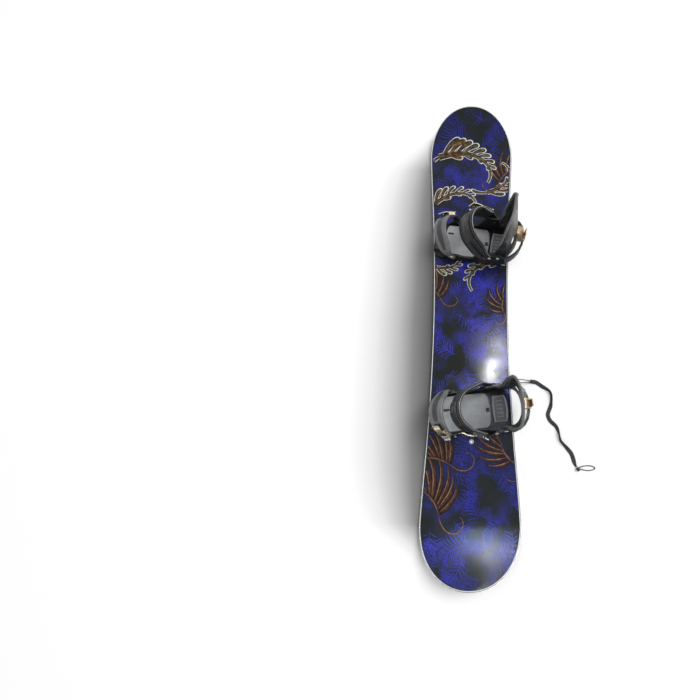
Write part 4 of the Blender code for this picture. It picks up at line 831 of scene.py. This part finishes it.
def moulded_grid(toe_edge, heel_edge, half, top, corner, across=26, along=40):
    """A pressed pad: a grid between two edges in plan, rounded over at its border."""
    shape = bmesh.new()
    grid = []
    for j in range(across + 1):
        t = -math.cos(math.pi * j / across)
        v = half * t
        x0, x1 = toe_edge(v), heel_edge(v)
        row = []
        for i in range(along + 1):
            s = (1 - math.cos(math.pi * i / along)) / 2
            s = 0.35 * s + 0.65 * i / along
            x = x0 + (x1 - x0) * s
            margin = min(x - x0, x1 - x, half - abs(v))
            fall = 0.0
            if margin < corner:
                fall = corner - math.sqrt(max(0.0, corner ** 2 - (corner - margin) ** 2))
            row.append(shape.verts.new((x, v, top(x, v) - fall)))
        grid.append(row)
    for a, b in zip(grid, grid[1:]):
        for i in range(along):
            shape.faces.new((a[i], a[i + 1], b[i + 1], b[i]))
    border = grid[0] + [r[-1] for r in grid[1:]] + grid[-1][-2::-1] + \
        [r[0] for r in grid[-2:0:-1]]
    foot = [shape.verts.new((v.co.x, v.co.y, PAD_LOW)) for v in border]
    for i in range(len(border)):
        j = (i + 1) % len(border)
        shape.faces.new((border[i], border[j], foot[j], foot[i]))
    shape.faces.new(foot)
    return shape


def round_ended(radius, power=6, cut=0.85):
    """Radius along a ridge that is rounded off at both ends."""
    return lambda s: radius * (1 - (2 * abs(s - 0.5)) ** power * cut)


def add_bar(shape, a, b, radius):
    """A half-sunk round-ended ridge between two points on a pad."""
    a, b = Vector(a), Vector(b)
    line = [a + (b - a) * k / 6 - Vector((0, 0, radius * 0.4)) for k in range(7)]
    round_tube(shape, line, round_ended(radius), 8)


def inset_outline(toe_edge, heel_edge, half, inset, turns):
    """The outline of a pad in plan, moved inwards."""
    ways = [(half - inset) * math.sin(math.pi * (k / turns - 0.5)) for k in range(turns + 1)]
    return [(heel_edge(v) - inset, v) for v in ways] + \
        [(toe_edge(v) + inset, v) for v in ways[::-1]]


def add_welt(shape, outline, top, radius):
    """A half-sunk ridge round a closed outline on a pad."""
    line = [Vector((x, y, top(x, y) - radius * 0.45)) for x, y in outline]
    count = len(line)
    rows = []
    for i, point in enumerate(line):
        run = (line[(i + 1) % count] - line[i - 1]).normalized()
        side = run.cross(Vector((0, 0, 1))).normalized()
        rows.append([point + (side * math.cos(a) + Vector((0, 0, 1)) * math.sin(a)) * radius
                     for a in (k * math.tau / 8 for k in range(8))])
    skin(shape, rows, joined=True)


def foam(name, dark, pale, roughness=0.72):
    """Closed-cell foam: slightly mottled, with a pored skin and soft paler edges that are painted
    highlight with a little wear.
    """
    made = Finish(name, dark, roughness)
    cloudy = made.ramp(made.noise(26.0, 6.0, 0.65), (0.32, 0.0), (0.72, 1.0))
    # Paler edges: painted highlight, with a little wear.
    wear_and_highlight = made.maths("MULTIPLY", made.edges(0.0012), 0.75)
    made.paint(made.mix(wear_and_highlight, made.mix(cloudy, dark, pale), tuple(c * 1.9 for c in pale)))
    made.sheen(made.ramp(made.noise(40.0, 4.0), (0.3, roughness - 0.10), (0.7, roughness + 0.08)))
    pores = made.maths("ADD", made.cells(1900.0), made.maths("MULTIPLY", made.noise(420.0), 1.4))
    made.bump(pores, 0.00016, 0.6)
    return made.made


grey_foam = foam("grey_eva_foam", (0.270, 0.280, 0.292), (0.410, 0.422, 0.436), 0.56)
dark_foam = foam("dark_foam", (0.018, 0.018, 0.020), (0.034, 0.035, 0.037))
FOOTBED_TOE, FOOTBED_HEEL, FOOTBED_HALF = -0.084, 0.060, 0.052
FOOTBED_TOP, FOOTBED_INSET = 0.0152, 0.0045
TAB_TOE, TAB_HEEL, TAB_HALF = 0.0462, 0.0572, 0.0062
TAB_PROFILE = [(0.0, -0.0006), (0.0, 0.0005), (0.0006, 0.0009), (0.0016, 0.0009),
               (0.0022, 0.0003)]
SLOT_X, SLOT_Y = -0.068, {"front": 0.022, "rear": 0.012}
SLOT_RADIUS, SLOT_STRAIGHT = 0.0046, 0.0060
LINE_TOE, LINE_HEEL, LINE_PITCH = 0.004, 0.034, 0.0046


def footbed_toe(v):
    t = min(1.0, abs(v) / FOOTBED_HALF)
    return FOOTBED_TOE + 0.012 * (1 - math.sqrt(max(0.0, 1 - t ** 6)))


def footbed_heel(v):
    t = min(1.0, abs(v) / FOOTBED_HALF)
    return FOOTBED_HEEL - 0.0055 * t * t - 0.014 * (1 - math.sqrt(max(0.0, 1 - t ** 7)))


def footbed_top(x, v):
    return FOOTBED_TOP - 0.0004 * ((v / FOOTBED_HALF) ** 2)


for tag in BINDINGS:
    shape = moulded_grid(footbed_toe, footbed_heel, FOOTBED_HALF, footbed_top,
                         corner=0.0018)
    add_welt(shape, inset_outline(footbed_toe, footbed_heel, FOOTBED_HALF, FOOTBED_INSET, turns=30),
             footbed_top, radius=0.0007)
    for k in range(-2, 3):
        v = k * LINE_PITCH
        add_bar(shape, (LINE_TOE, v, FOOTBED_TOP), (LINE_HEEL, v, FOOTBED_TOP),
                radius=0.0006)
    corners = ((TAB_TOE, -TAB_HALF, 1, 1), (TAB_HEEL, -TAB_HALF, -1, 1),
               (TAB_HEEL, TAB_HALF, -1, -1), (TAB_TOE, TAB_HALF, 1, -1))
    skin(shape, [[(x + toward_x * w, y + toward_y * w, FOOTBED_TOP + z)
                  for x, y, toward_x, toward_y in corners] for w, z in TAB_PROFILE], material=1)
    ring = [(SLOT_X + SLOT_RADIUS * math.cos(a) + math.copysign(SLOT_STRAIGHT, math.cos(a)),
             SLOT_Y[tag] + SLOT_RADIUS * math.sin(a))
            for a in (k * math.tau / 24 for k in range(24))]
    add_welt(shape, ring, footbed_top, radius=0.0008)
    floor_of_slot = [shape.verts.new((x, y, FOOTBED_TOP + 0.0001)) for x, y in ring]
    shape.faces.new(floor_of_slot).material_index = 1
    footbed = piece_from(tag + "_pressed_footbed", shape, [grey_foam, dark_foam])
    footbed.matrix_world = stand(tag)
    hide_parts(tag + "_footbed")
    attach(footbed, "board")

# Heel pads: thicker grey foam blocks pressed hollow for the boot's heel, with a raised lip to
# the back and a welt all round. They are glued to the baseplate's floor.
HEEL_DISH = [(0.066, 0.0200), (0.069, 0.0205), (0.076, 0.0183), (0.086, 0.0170), (0.096, 0.0178),
             (0.104, 0.0210), (0.110, 0.0228)]
HEEL_HALF, HEEL_INSET, HEEL_LINE_PITCH = 0.039, 0.0034, 0.0115
mid_foam = foam("mid_grey_foam", (0.100, 0.104, 0.110), (0.190, 0.196, 0.205))


def heel_front(v):
    return 0.0662 + 0.0022 * (v / HEEL_HALF) ** 2


def heel_back(v):
    t = min(1.0, abs(v) / HEEL_HALF)
    return 0.1098 - 0.0050 * t * t - 0.004 * (1 - math.sqrt(max(0.0, 1 - t ** 8)))


def heel_top(x, v):
    return between(HEEL_DISH, x) + 0.0007 * (v / HEEL_HALF) ** 4


for tag in BINDINGS:
    shape = moulded_grid(heel_front, heel_back, HEEL_HALF, heel_top, corner=0.0016, across=22,
                         along=26)
    for face in shape.faces:
        middle = face.calc_center_median()
        if (middle.z > 0.014 and abs(middle.y) < HEEL_HALF - HEEL_INSET
                and heel_front(middle.y) + HEEL_INSET < middle.x
                < heel_back(middle.y) - HEEL_INSET):
            face.material_index = 1
    add_welt(shape, inset_outline(heel_front, heel_back, HEEL_HALF, HEEL_INSET, turns=20),
             heel_top, radius=0.0011)
    for k in range(-2, 3):
        v = k * HEEL_LINE_PITCH
        line = [Vector((x, v, heel_top(x, v) - 0.0003)) for x in
                (0.0760, 0.0790, 0.0830, 0.0870, 0.0910, 0.0950, 0.0975)]
        round_tube(shape, line, round_ended(0.0007), 8)
    heel = piece_from(tag + "_pressed_heel_pad", shape, [grey_foam, mid_foam])
    heel.matrix_world = stand(tag)
    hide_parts(tag + "_heel_pad")
    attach(heel, "board")

# Toe ramps: firm dark rubber wedges under the boot's toe, with grip ribs across them, pushed
# on to the baseplate's toe end.
RAMP_LINE = [(-0.116, 0.0168), (-0.112, 0.0196), (-0.107, 0.0196), (-0.098, 0.0176),
             (-0.087, 0.0152)]
RAMP_HALF, RIB_PITCH = 0.040, 0.0042


def ramp_toe(v):
    return -0.1158 + 0.0035 * (v / RAMP_HALF) ** 4


def ramp_heel(v):
    return -0.0873


def ramp_top(x, v):
    rib = max(0.0, math.sin((x + 0.116) * math.tau / RIB_PITCH)) ** 0.7
    return between(RAMP_LINE, x) + 0.0006 * rib - 0.0004


for tag in BINDINGS:
    shape = moulded_grid(ramp_toe, ramp_heel, RAMP_HALF, ramp_top, corner=0.0013, across=20,
                         along=56)
    wedge = piece_from(tag + "_ribbed_toe_ramp", shape, [dark_foam])
    wedge.matrix_world = stand(tag)
    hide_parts(tag + "_toe_ramp")
    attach(wedge, "board")

# Heel loops: stiff nylon hoops with a rolled rim, bolted outside the rails. They are darker
# and glossier than the trays, and their rims are pale, partly worn and partly painted highlight.
hoop_nylon = moulded("hoop_nylon", (0.016, 0.016, 0.017), (0.038, 0.038, 0.040), roughness=0.28,
                     grain=1100.0, edge_wear_and_highlight_colour=(0.26, 0.265, 0.27))
for tag in BINDINGS:
    dress(tag + "_heel_loop", hoop_nylon)

# Highbacks: thin moulded nylon shells with a soft grey edge bead pushed over the rim, so that
# they don't rub the rider's leg.
shell_nylon = moulded("shell_nylon", (0.016, 0.017, 0.017), (0.040, 0.041, 0.041), roughness=0.32,
                      grain=1000.0, edge_wear_and_highlight_colour=(0.12, 0.125, 0.13))
bead_rubber = foam("grey_edge_rubber", (0.085, 0.088, 0.090), (0.155, 0.160, 0.160), 0.5)
HIGHBACK_RIM = [
    (0.0850, 0.0546, 0.0570), (0.0965, 0.0546, 0.0940), (0.1024, 0.0588, 0.1180),
    (0.1120, 0.0647, 0.1404), (0.1209, 0.0638, 0.1693), (0.1258, 0.0581, 0.1779),
    (0.1293, 0.0486, 0.1839), (0.1307, 0.0349, 0.2009), (0.1303, 0.0180, 0.2226),
    (0.1288, 0.0000, 0.2420), (0.1294, -0.0180, 0.2311), (0.1285, -0.0349, 0.2226),
    (0.1261, -0.0486, 0.2178), (0.1230, -0.0581, 0.2130), (0.1194, -0.0638, 0.2057),
    (0.1157, -0.0656, 0.1888), (0.1060, -0.0646, 0.1400), (0.0965, -0.0546, 0.0940),
    (0.0850, -0.0546, 0.0570)]
BEAD_OUT, BEAD_ALONG, BEAD_TAPER = 0.0034, 0.0040, 0.35
for tag in BINDINGS:
    dress(tag + "_highback", shell_nylon)
    rim = [Vector(p) for p in HIGHBACK_RIM]
    line = []
    for point, after in zip(rim, rim[1:]):
        line += [point, (point + after) / 2]
    line.append(rim[-1])
    shape = bmesh.new()
    rows = []
    for i, (point, (tangent, _, _)) in enumerate(zip(line, frames_along(line))):
        share = i / (len(line) - 1)
        outward = Vector((point.x - 0.050, point.y, 0.0)).normalized()
        outward = (outward - tangent * outward.dot(tangent)).normalized()
        along = tangent.cross(outward)
        taper = min(1.0, BEAD_TAPER + 9 * min(share, 1 - share))
        rows.append([point + outward * (BEAD_OUT * taper * math.cos(a))
                     + along * (BEAD_ALONG * taper * math.sin(a))
                     for a in (k * math.tau / 12 for k in range(12))])
    skin(shape, rows)
    bead = piece_from(tag + "_highback_edge_bead", shape, [bead_rubber])
    bead.matrix_world = stand(tag)
    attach(bead, tag + "_highback_assembly")


# Forward-lean adjusters: a cast block on the back of each highback that bears on the hoop, and
# a short lever that clamps it. Both are in bronze lacquer, bright along their edges, partly
# rubbed and partly painted highlight.
def cast(name, dark, pale, roughness, metallic=1.0):
    """Lacquered or polished metal: directional polish lines, dull patches, and bright edges that
    are partly wear and partly painted highlight.
    """
    made = Finish(name, dark, roughness, metallic)
    polish = made.noise(1.0, 4.0, 0.65, made.stretch(300, 60, 60))
    body = made.ramp(polish, (0.30, dark), (0.70, pale))
    # Bright edges: partly rubbed metal, partly painted highlight.
    made.paint(made.mix(made.maths("MULTIPLY", made.edges(0.0006), 0.7), body,
                        tuple(min(0.95, c * 1.35) for c in pale)))
    made.sheen(made.ramp(made.noise(120.0, 4.0), (0.3, roughness - 0.08), (0.7, roughness + 0.14)))
    made.bump(polish, 0.00005, 0.5, round_off=0.0004)
    return made.made


bronze = cast("bronze_lacquer", (0.22, 0.16, 0.10), (0.44, 0.34, 0.23), 0.46, metallic=0.75)
for tag in BINDINGS:
    dress(tag + "_lean_block", bronze)
    dress(tag + "_lean_lever", bronze)

# Bolts: domed steel bolts through rail, hoop and strap end. The strap bolts are gilt and the
# highback's pivot bolts bright.
gilt = cast("gilt_metal", (0.60, 0.50, 0.33), (0.86, 0.77, 0.58), 0.24)
silver = cast("bright_steel", (0.52, 0.53, 0.55), (0.78, 0.79, 0.80), 0.24)
for tag in BINDINGS:
    for where in ("ankle_outer", "ankle_inner", "toe_outer", "toe_inner"):
        dress("%s_%s_bolt" % (tag, where), gilt)
    for where in ("nose", "tail"):
        dress("%s_highback_%s_bolt" % (tag, where), silver)


# Ankle straps: thick padded bands over the boot's instep. A woven cover is sewn round moulded
# foam with piping at its edges, under a glossy channelled skin that the buckle is riveted to.
def strap_legs(lead, bend, radius, seat, half):
    """A strap's path: lead, bend, buckle seat, crown, and the same back down."""
    drop = radius * (1 - math.cos(bend)) + seat * math.sin(bend)
    crown = (half - drop) / math.cos(bend)
    turn = math.pi - 2 * bend
    side = [(lead, 0.0), (radius * bend, bend), (seat, 0.0)]
    return side + [(crown * turn, turn)] + side[::-1]


def strap_point(legs, half, distance):
    """Place and heading at a distance along a strap's path."""
    x, y, heading = 0.0, half, 0.0
    for length, turn in legs:
        part = min(length, distance)
        if turn == 0.0:
            x += part * math.cos(heading)
            y -= part * math.sin(heading)
        else:
            radius = length / turn
            end = heading + turn * part / length
            x += radius * (math.sin(end) - math.sin(heading))
            y -= radius * (math.cos(heading) - math.cos(end))
            heading = end
        distance -= part
        if distance <= 1e-9:
            return x, y, heading
    return x + distance * math.cos(heading), y - distance * math.sin(heading), heading


def rise(value, start, end):
    """A soft step from 0 to 1."""
    t = min(1.0, max(0.0, (value - start) / (end - start)))
    return t * t * (3 - 2 * t)


BASE_HALF, TONGUE_THICK, TONGUE_HALF, TONGUE_CLEAR = 0.062, 0.0030, 0.0095, 0.0004
PAD_SEAT_FACE, BOLT_HEAD, STRAP_STEP = 0.0045, 0.0062, 0.0028


class Strap:
    """One strap's path and widths, in its own swing frame, as its CAD pad has them."""

    def __init__(self, tag, kind, tilt, lead, pivot, bend, seat, pad, clear, scale):
        self.body = "%s_%s_strap" % (tag, kind)
        self.node = "%s_%s_pad" % (tag, kind)
        self.side = BINDINGS[tag][2]
        self.half = BASE_HALF + clear + TONGUE_THICK / 2
        self.legs = strap_legs(lead, math.radians(bend[0]), bend[1], seat, self.half)
        self.width, self.thick = pad
        self.lay = stand(tag) @ Matrix.Translation((pivot[0], 0.0, pivot[1])) @ \
            Matrix.Rotation(math.pi + math.radians(tilt), 4, "Y")
        self.total = sum(length for length, turn in self.legs)
        self.seat_start = self.legs[0][0] + self.legs[1][0]
        self.seat_end = self.seat_start + self.legs[2][0]
        self.inside = self.total - self.legs[6][0] - self.legs[5][0]
        self.tongue = TONGUE_HALF + 0.003 * scale
        self.seat_thick = PAD_SEAT_FACE * scale + TONGUE_THICK / 2

    def at(self, s):
        """(place, outward, thickness, width) of the pad's middle at a distance."""
        fold = rise(s, self.inside - 0.006, self.total - BOLT_HEAD - 0.003)
        open_up = rise(s, self.seat_end - 0.004, self.seat_end + 0.020)
        t = self.seat_thick + (self.thick - self.seat_thick) * open_up
        t += (TONGUE_THICK - t) * fold
        outward = max(1.0 - open_up, rise(s, self.inside - 0.050, self.inside - 0.005))
        offset = (t - TONGUE_THICK) / 2 * outward
        middle = rise(s, self.seat_start, self.seat_end + 0.025) * \
            (1.0 - rise(s, self.inside - 0.035, self.total - 0.004))
        w = (0.60 + 0.40 * middle) * self.width
        w += (2 * self.tongue - w) * rise(s, self.inside - 0.010, self.total - 0.004)
        if s > self.total:
            w = 2 * math.sqrt(max(1e-8, self.tongue ** 2 - (s - self.total) ** 2))
        x, y, heading = strap_point(self.legs, self.half, s)
        normal = Vector((math.sin(heading), math.cos(heading) * self.side, 0.0))
        return Vector((x, y * self.side, 0.0)) + normal * offset, normal, t, w

    def stops(self, start, end):
        """Distances along the strap at even steps."""
        count = max(2, round((end - start) / STRAP_STEP))
        return [start + (end - start) * k / count for k in range(count + 1)]

    def point(self, s, across, out):
        """A point of the strap: across in half widths, out in metres from the outer face."""
        middle, normal, t, w = self.at(s)
        return middle + normal * (t / 2 + out) + Vector((0, 0, across * w / 2))


SWELL_PITCH, CHANNEL_WIDTH, PAD_STOPS = 0.026, 0.055, 32


def pad_skin(shape, strap, channels, depth, puff):
    """The padded body: rounded long edges, and channels pressed into its outer face."""
    rows = []
    for s in strap.stops(strap.seat_start, strap.total + strap.tongue * 0.97):
        middle, normal, t, w = strap.at(s)
        soft = rise(s, strap.seat_end, strap.seat_end + 0.018) * \
            (1 - rise(s, strap.inside - 0.015, strap.inside + 0.010))
        swell = 1.0 + 0.05 * math.sin((s - strap.seat_end) / SWELL_PITCH * math.pi) * soft
        outer, inner = [], []
        for k in range(PAD_STOPS + 1):
            c = -1 + 2 * k / PAD_STOPS
            place = middle + Vector((0, 0, c * w / 2))
            lip = (1 - abs(c) ** 5) ** 0.45 if abs(c) < 1 else 0.0
            dip = sum(math.exp(-((c - g) / CHANNEL_WIDTH) ** 2) for g in channels) * depth * soft
            out = (t / 2) * (0.30 + 0.70 * lip) * (1 + puff * soft * (1 - c * c)) * swell - dip
            outer.append(place + normal * out)
            inner.append(place - normal * (t / 2 * (0.30 + 0.70 * (1 - abs(c) ** 6) ** 0.5)))
        rows.append(outer + inner[-2:0:-1])
    skin(shape, rows)


def stitch_row(shape, strap, start, end, across, out, pitch=0.0042, radius=0.00034):
    """A row of thread stitches, each one standing just proud of the cover."""
    s = start
    while s + pitch < end:
        round_tube(shape, [strap.point(s + pitch * a, across, out + b * radius) for a, b in
                           ((0.0, -1.2), (0.15, 0.2), (0.35, 0.5), (0.55, 0.2), (0.68, -1.2))],
                   radius, 6)
        s += pitch


def add_piping(shape, strap, radius):
    """Round welts sewn in along both long edges of a strap."""
    for across in (-0.965, 0.965):
        line = [strap.point(s, across, -strap.at(s)[2] * 0.42) for s in
                strap.stops(strap.seat_start + 0.002, strap.total - 0.004)]
        round_tube(shape, line, radius, 8)


def skin_plastic(name, dark, pale, roughness):
    """Thermoformed plastic skin: smooth gloss with a faint leather-like break, and pale edges of
    painted highlight.
    """
    made = Finish(name, dark, roughness, specular=0.28, coat=0.12)
    # Pale edges: painted highlight, far lighter than the skin's own colour.
    made.paint(made.mix(made.maths("MULTIPLY", made.edges(0.0007), 0.8),
                        made.mix(made.ramp(made.noise(34.0, 5.0), (0.35, 0.0), (0.7, 1.0)), dark,
                                 pale), tuple(min(0.8, c * 4.0 + 0.08) for c in pale)))
    made.sheen(made.ramp(made.noise(48.0, 4.0), (0.3, roughness - 0.06), (0.7, roughness + 0.12)))
    made.bump(made.maths("ADD", made.cells(700.0), made.noise(260.0)), 0.00010, 0.45,
              round_off=0.0005)
    return made.made


CLOTH_DARK = (0.012, 0.012, 0.013)
cloth = Finish("ankle_strap_cloth", CLOTH_DARK, 0.82, specular=0.2)
lie = cloth.add("ShaderNodeMapping", Vector=cloth.place, Rotation=(0.6, 0.2, 0.8)).outputs[0]
threads = cloth.maths("MAXIMUM", *(cloth.wave(
    700.0, 0.6, bands_direction=way, where=lie, detail=1.0) for way in "XY"))
worn = cloth.ramp(cloth.noise(30.0, 5.0), (0.38, 0.0), (0.68, 1.0))
cloth.paint(cloth.mix(cloth.ramp(threads, (0.35, 0.65), (0.95, 0.0)),
                      cloth.mix(worn, CLOTH_DARK, (0.026, 0.027, 0.029)),
                      tuple(c * 0.45 for c in CLOTH_DARK)))
cloth.bump(threads, 0.00022, 0.7)
cloth.shader.inputs["Sheen Weight"].default_value = 0.05
ankle_skin = skin_plastic("ankle_strap_skin", (0.008, 0.008, 0.009), (0.018, 0.018, 0.020), 0.24)
# Dark piping coloured mid grey: painted highlight standing for its glossy lines.
piping = skin_plastic("piping_painted_highlight", (0.110, 0.112, 0.116), (0.260, 0.263, 0.268), 0.22)
thread = Finish("grey_thread", (0.20, 0.20, 0.21), 0.7)
thread.paint(thread.ramp(thread.noise(1500.0, 2.0), (0.3, (0.12, 0.12, 0.125)),
                         (0.7, (0.26, 0.26, 0.27))))
thread.bump(thread.noise(2600.0, 2.0), 0.00008, 0.7)

# Across in half widths, height in thicknesses, and 1 where the rolled lip adds to it.
OVERLAY_SECTION = [(-1.0, -0.3, 0), (-1.0, 0.9, 0), (-0.96, 1.0, 1), (-0.88, 1.0, 1),
                   (-0.82, 1.0, 0), (-0.45, 0.85, 0), (0.0, 1.05, 0), (0.45, 0.85, 0),
                   (0.82, 1.0, 0), (0.88, 1.0, 1), (0.96, 1.0, 1), (1.0, 0.9, 0),
                   (1.0, -0.3, 0), (0.6, -0.3, 0), (0.2, -0.3, 0), (-0.2, -0.3, 0),
                   (-0.6, -0.3, 0)]


def overlay(shape, strap, start, end, width, thick, lip):
    """A raised skin laid along the pad, with a rolled lip on each long edge."""
    rows = []
    for s in strap.stops(start, end):
        share = (s - start) / (end - start)
        w = width * (0.72 + 0.28 * math.sin(math.pi * min(1.0, max(0.0, share * 1.1))))
        rows.append([strap.point(s, c * w, (h + lip * rolled) * thick)
                     for c, h, rolled in OVERLAY_SECTION])
    skin(shape, rows)


GAP, LOOP_THICK = 0.0003, 0.0040
ANKLE_TILT = {"front": 42, "rear": 27}
ANKLE_LEAD = {"front": 0.015, "rear": 0.028}
ANKLE = {"pivot": (0.070, 0.048), "bend": (18, 0.030), "seat": 0.044, "pad": (0.062, 0.0100),
         "clear": GAP + LOOP_THICK + 2 * TONGUE_CLEAR, "scale": 1.0}
for tag in BINDINGS:
    strap = Strap(tag, "ankle", ANKLE_TILT[tag], ANKLE_LEAD[tag], **ANKLE)
    shape = bmesh.new()
    pad_skin(shape, strap, channels=(-0.72, 0.72), depth=0.0016, puff=0.05)
    pad = piece_from(tag + "_ankle_padded_band", shape, [cloth.made])
    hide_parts(strap.node)

    shape = bmesh.new()
    overlay(shape, strap, strap.seat_end + 0.030, strap.inside + 0.004, width=0.60,
            thick=0.0008, lip=0.9)
    for across in (-0.40, -0.22, 0.22, 0.40):
        line = [strap.point(s, across, 0.0006) for s in
                strap.stops(strap.seat_end + 0.040, strap.inside - 0.006)]
        round_tube(shape, line, round_ended(0.0010, power=8, cut=0.8), 8)
    cover = piece_from(tag + "_ankle_moulded_skin", shape, [ankle_skin])

    shape = bmesh.new()
    add_piping(shape, strap, radius=0.0014)
    welt = piece_from(tag + "_ankle_piping", shape, [piping])

    shape = bmesh.new()
    for across in (-0.86, 0.86):
        stitch_row(shape, strap, strap.seat_start + 0.006, strap.inside + 0.004, across,
                   out=-0.0005)
    for across in (-0.56, 0.56):
        stitch_row(shape, strap, strap.seat_end + 0.034, strap.inside, across, out=0.0009)
    seam = piece_from(tag + "_ankle_stitching", shape, [thread.made])
    for piece in (pad, cover, welt, seam):
        piece.matrix_world = strap.lay
        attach(piece, strap.body)

# Toe straps: lighter grey bands over the toes, in a smooth synthetic leather over thin foam,
# with a raised middle panel, dark piping and stitched edges.
toe_skin = skin_plastic("toe_strap_skin", (0.13, 0.13, 0.135), (0.19, 0.19, 0.195), 0.40)
toe_panel = skin_plastic("toe_strap_panel", (0.030, 0.031, 0.034), (0.050, 0.051, 0.055), 0.34)
TOE = {"tilt": 58, "lead": 0.018, "pivot": (-0.050, 0.022), "bend": (38, 0.018),
       "seat": 0.035, "pad": (0.048, 0.0080), "clear": TONGUE_CLEAR, "scale": 0.80}
for tag in BINDINGS:
    strap = Strap(tag, "toe", **TOE)
    shape = bmesh.new()
    pad_skin(shape, strap, channels=(-0.60, 0.60), depth=0.0010, puff=0.04)
    pad = piece_from(tag + "_toe_padded_band", shape, [toe_skin])
    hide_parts(strap.node)

    shape = bmesh.new()
    overlay(shape, strap, strap.seat_end + 0.024, strap.inside - 0.004, width=0.40,
            thick=0.0007, lip=0.8)
    add_piping(shape, strap, radius=0.0011)
    panel = piece_from(tag + "_toe_panel_and_piping", shape, [toe_panel])

    shape = bmesh.new()
    for across in (-0.86, 0.86):
        stitch_row(shape, strap, strap.seat_start + 0.006, strap.inside + 0.002, across,
                   out=-0.0004, pitch=0.0036, radius=0.0003)
    seam = piece_from(tag + "_toe_stitching", shape, [thread.made])
    for piece in (pad, panel, seam):
        piece.matrix_world = strap.lay
        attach(piece, strap.body)

# Ladders and buckles: toothed black nylon ladders run through stamped buckle frames; a gilt
# lever draws each ladder in tooth by tooth, and a small steel release lets it go.
ladder_nylon = moulded("ladder_nylon", (0.016, 0.016, 0.018), (0.028, 0.028, 0.031), roughness=0.36,
                       grain=1400.0, edge_wear_and_highlight_colour=(0.20, 0.20, 0.21))
gunmetal = cast("black_gunmetal", (0.045, 0.045, 0.048), (0.10, 0.10, 0.105), 0.34)
for tag in BINDINGS:
    for kind in ("ankle", "toe"):
        name = "%s_%s_" % (tag, kind)
        dress(name + "ladder", ladder_nylon)
        dress(name + "buckle", gunmetal if kind == "ankle" else gilt)
        dress(name + "lever", gilt)
        dress(name + "release", silver)

# Floor and light: a plain white sweep under a pale room, a broad soft key from the upper right,
# and softboxes overhead that only show as gloss on the deck. A soft drop shade is painted on
# the floor beside the toe edge, dark at the edge and gone 0.36 m away.
FLOOR_HALF = 6
floor_mesh = bpy.data.meshes.new("floor")
floor_mesh.from_pydata([(x * FLOOR_HALF, y * FLOOR_HALF, 0) for x, y in
                        ((-1, -1), (1, -1), (1, 1), (-1, 1))], [], [(0, 1, 2, 3)])
floor = bpy.data.objects.new("floor", floor_mesh)
bpy.context.scene.collection.objects.link(floor)
floor.location.z = -FLOOR_GAP
WHITE = (0.96, 0.96, 0.96)
white = Finish("floor_white", WHITE, 0.9, specular=0.0)
where = white.add("ShaderNodeSeparateXYZ", Vector=white.place)
span = white.maths("MULTIPLY_ADD", where.outputs["Y"], 0.5, 0.5)
reach = white.ramp(span,
                   (0.09, 0.0), (0.125, 0.28), (0.145, 0.52), (0.20, 0.61), (0.50, 0.62),
                   (0.78, 0.60), (0.84, 0.54), (0.87, 0.36), (0.90, 0.0))
apart = white.maths("SUBTRACT", white.maths("SUBTRACT", 0.5, where.outputs["X"]), reach)
tip = white.maths("POWER", white.maths(
    "MULTIPLY", white.maths("ABSOLUTE", where.outputs["Y"]), 1.25), 7.0)
steep = white.maths("MULTIPLY_ADD", tip, 7.0, 2.5)
fade = white.ramp(white.maths("MULTIPLY", apart, steep), (0.0, 0.10), (0.15, 0.25),
                  (0.27, 0.50), (0.45, 0.80), (0.62, 0.94), (0.90, 1.0))
clear = white.ramp(where.outputs["X"], (0.02, 0.0), (0.08, 1.0))
white.paint(white.mix(white.maths("MAXIMUM", fade, clear), (0, 0, 0), WHITE))
floor_mesh.materials.append(white.made)

ROOM_LEVEL, SEEN_LEVEL = 0.70, 1.0
world = bpy.data.worlds.new("studio")
bpy.context.scene.world = world
world.use_nodes = True
tree = world.node_tree
sky = tree.nodes["Background"]
sky.inputs["Color"].default_value = (1, 1, 1, 1)
rays = tree.nodes.new("ShaderNodeLightPath")
seen = rays.outputs["Is Camera Ray"]
for kind in ("Is Glossy Ray", "Is Transmission Ray"):
    either = tree.nodes.new("ShaderNodeMath")
    either.operation = "MAXIMUM"
    tree.links.new(seen, either.inputs[0])
    tree.links.new(rays.outputs[kind], either.inputs[1])
    seen = either.outputs[0]
level = tree.nodes.new("ShaderNodeMapRange")
level.inputs["To Min"].default_value = ROOM_LEVEL
level.inputs["To Max"].default_value = SEEN_LEVEL
tree.links.new(seen, level.inputs["Value"])
tree.links.new(level.outputs["Result"], sky.inputs["Strength"])

COOL = (0.55, 0.72, 1.0)
for name, place, aim, size, beam, power in (
        ("key", (5.2, 2.8, 6.8), (0, 0, 0), (4.4, 4.4), 180, 520.0),
        ("deck_softbox", (0.32, 0.45, 2.5), (0.09, -0.15, 0), (0.18, 0.46), 24, 0.95),
        ("tail_softbox", (0.08, -0.12, 2.3), (0.05, -0.62, 0), (0.60, 0.50), 22, 0.60),
        ("tail_strip", (0.15, 0.05, 2.3), (0.08, -0.66, 0), (0.42, 0.08), 14, 0.085)):
    lamp = bpy.data.lights.new(name, "AREA")
    lamp.shape = "RECTANGLE"
    lamp.size, lamp.size_y = size
    lamp.energy = power
    lamp.spread = math.radians(beam)
    lamp.color = COOL if name == "tail_softbox" else (1.0, 1.0, 1.0)
    light = bpy.data.objects.new(name, lamp)
    light.location = place
    light.rotation_euler = (Vector(aim) - light.location).to_track_quat("-Z", "Y").to_euler()
    light.visible_diffuse = name == "key"
    bpy.context.scene.collection.objects.link(light)
bpy.context.scene.view_settings.view_transform = "Standard"
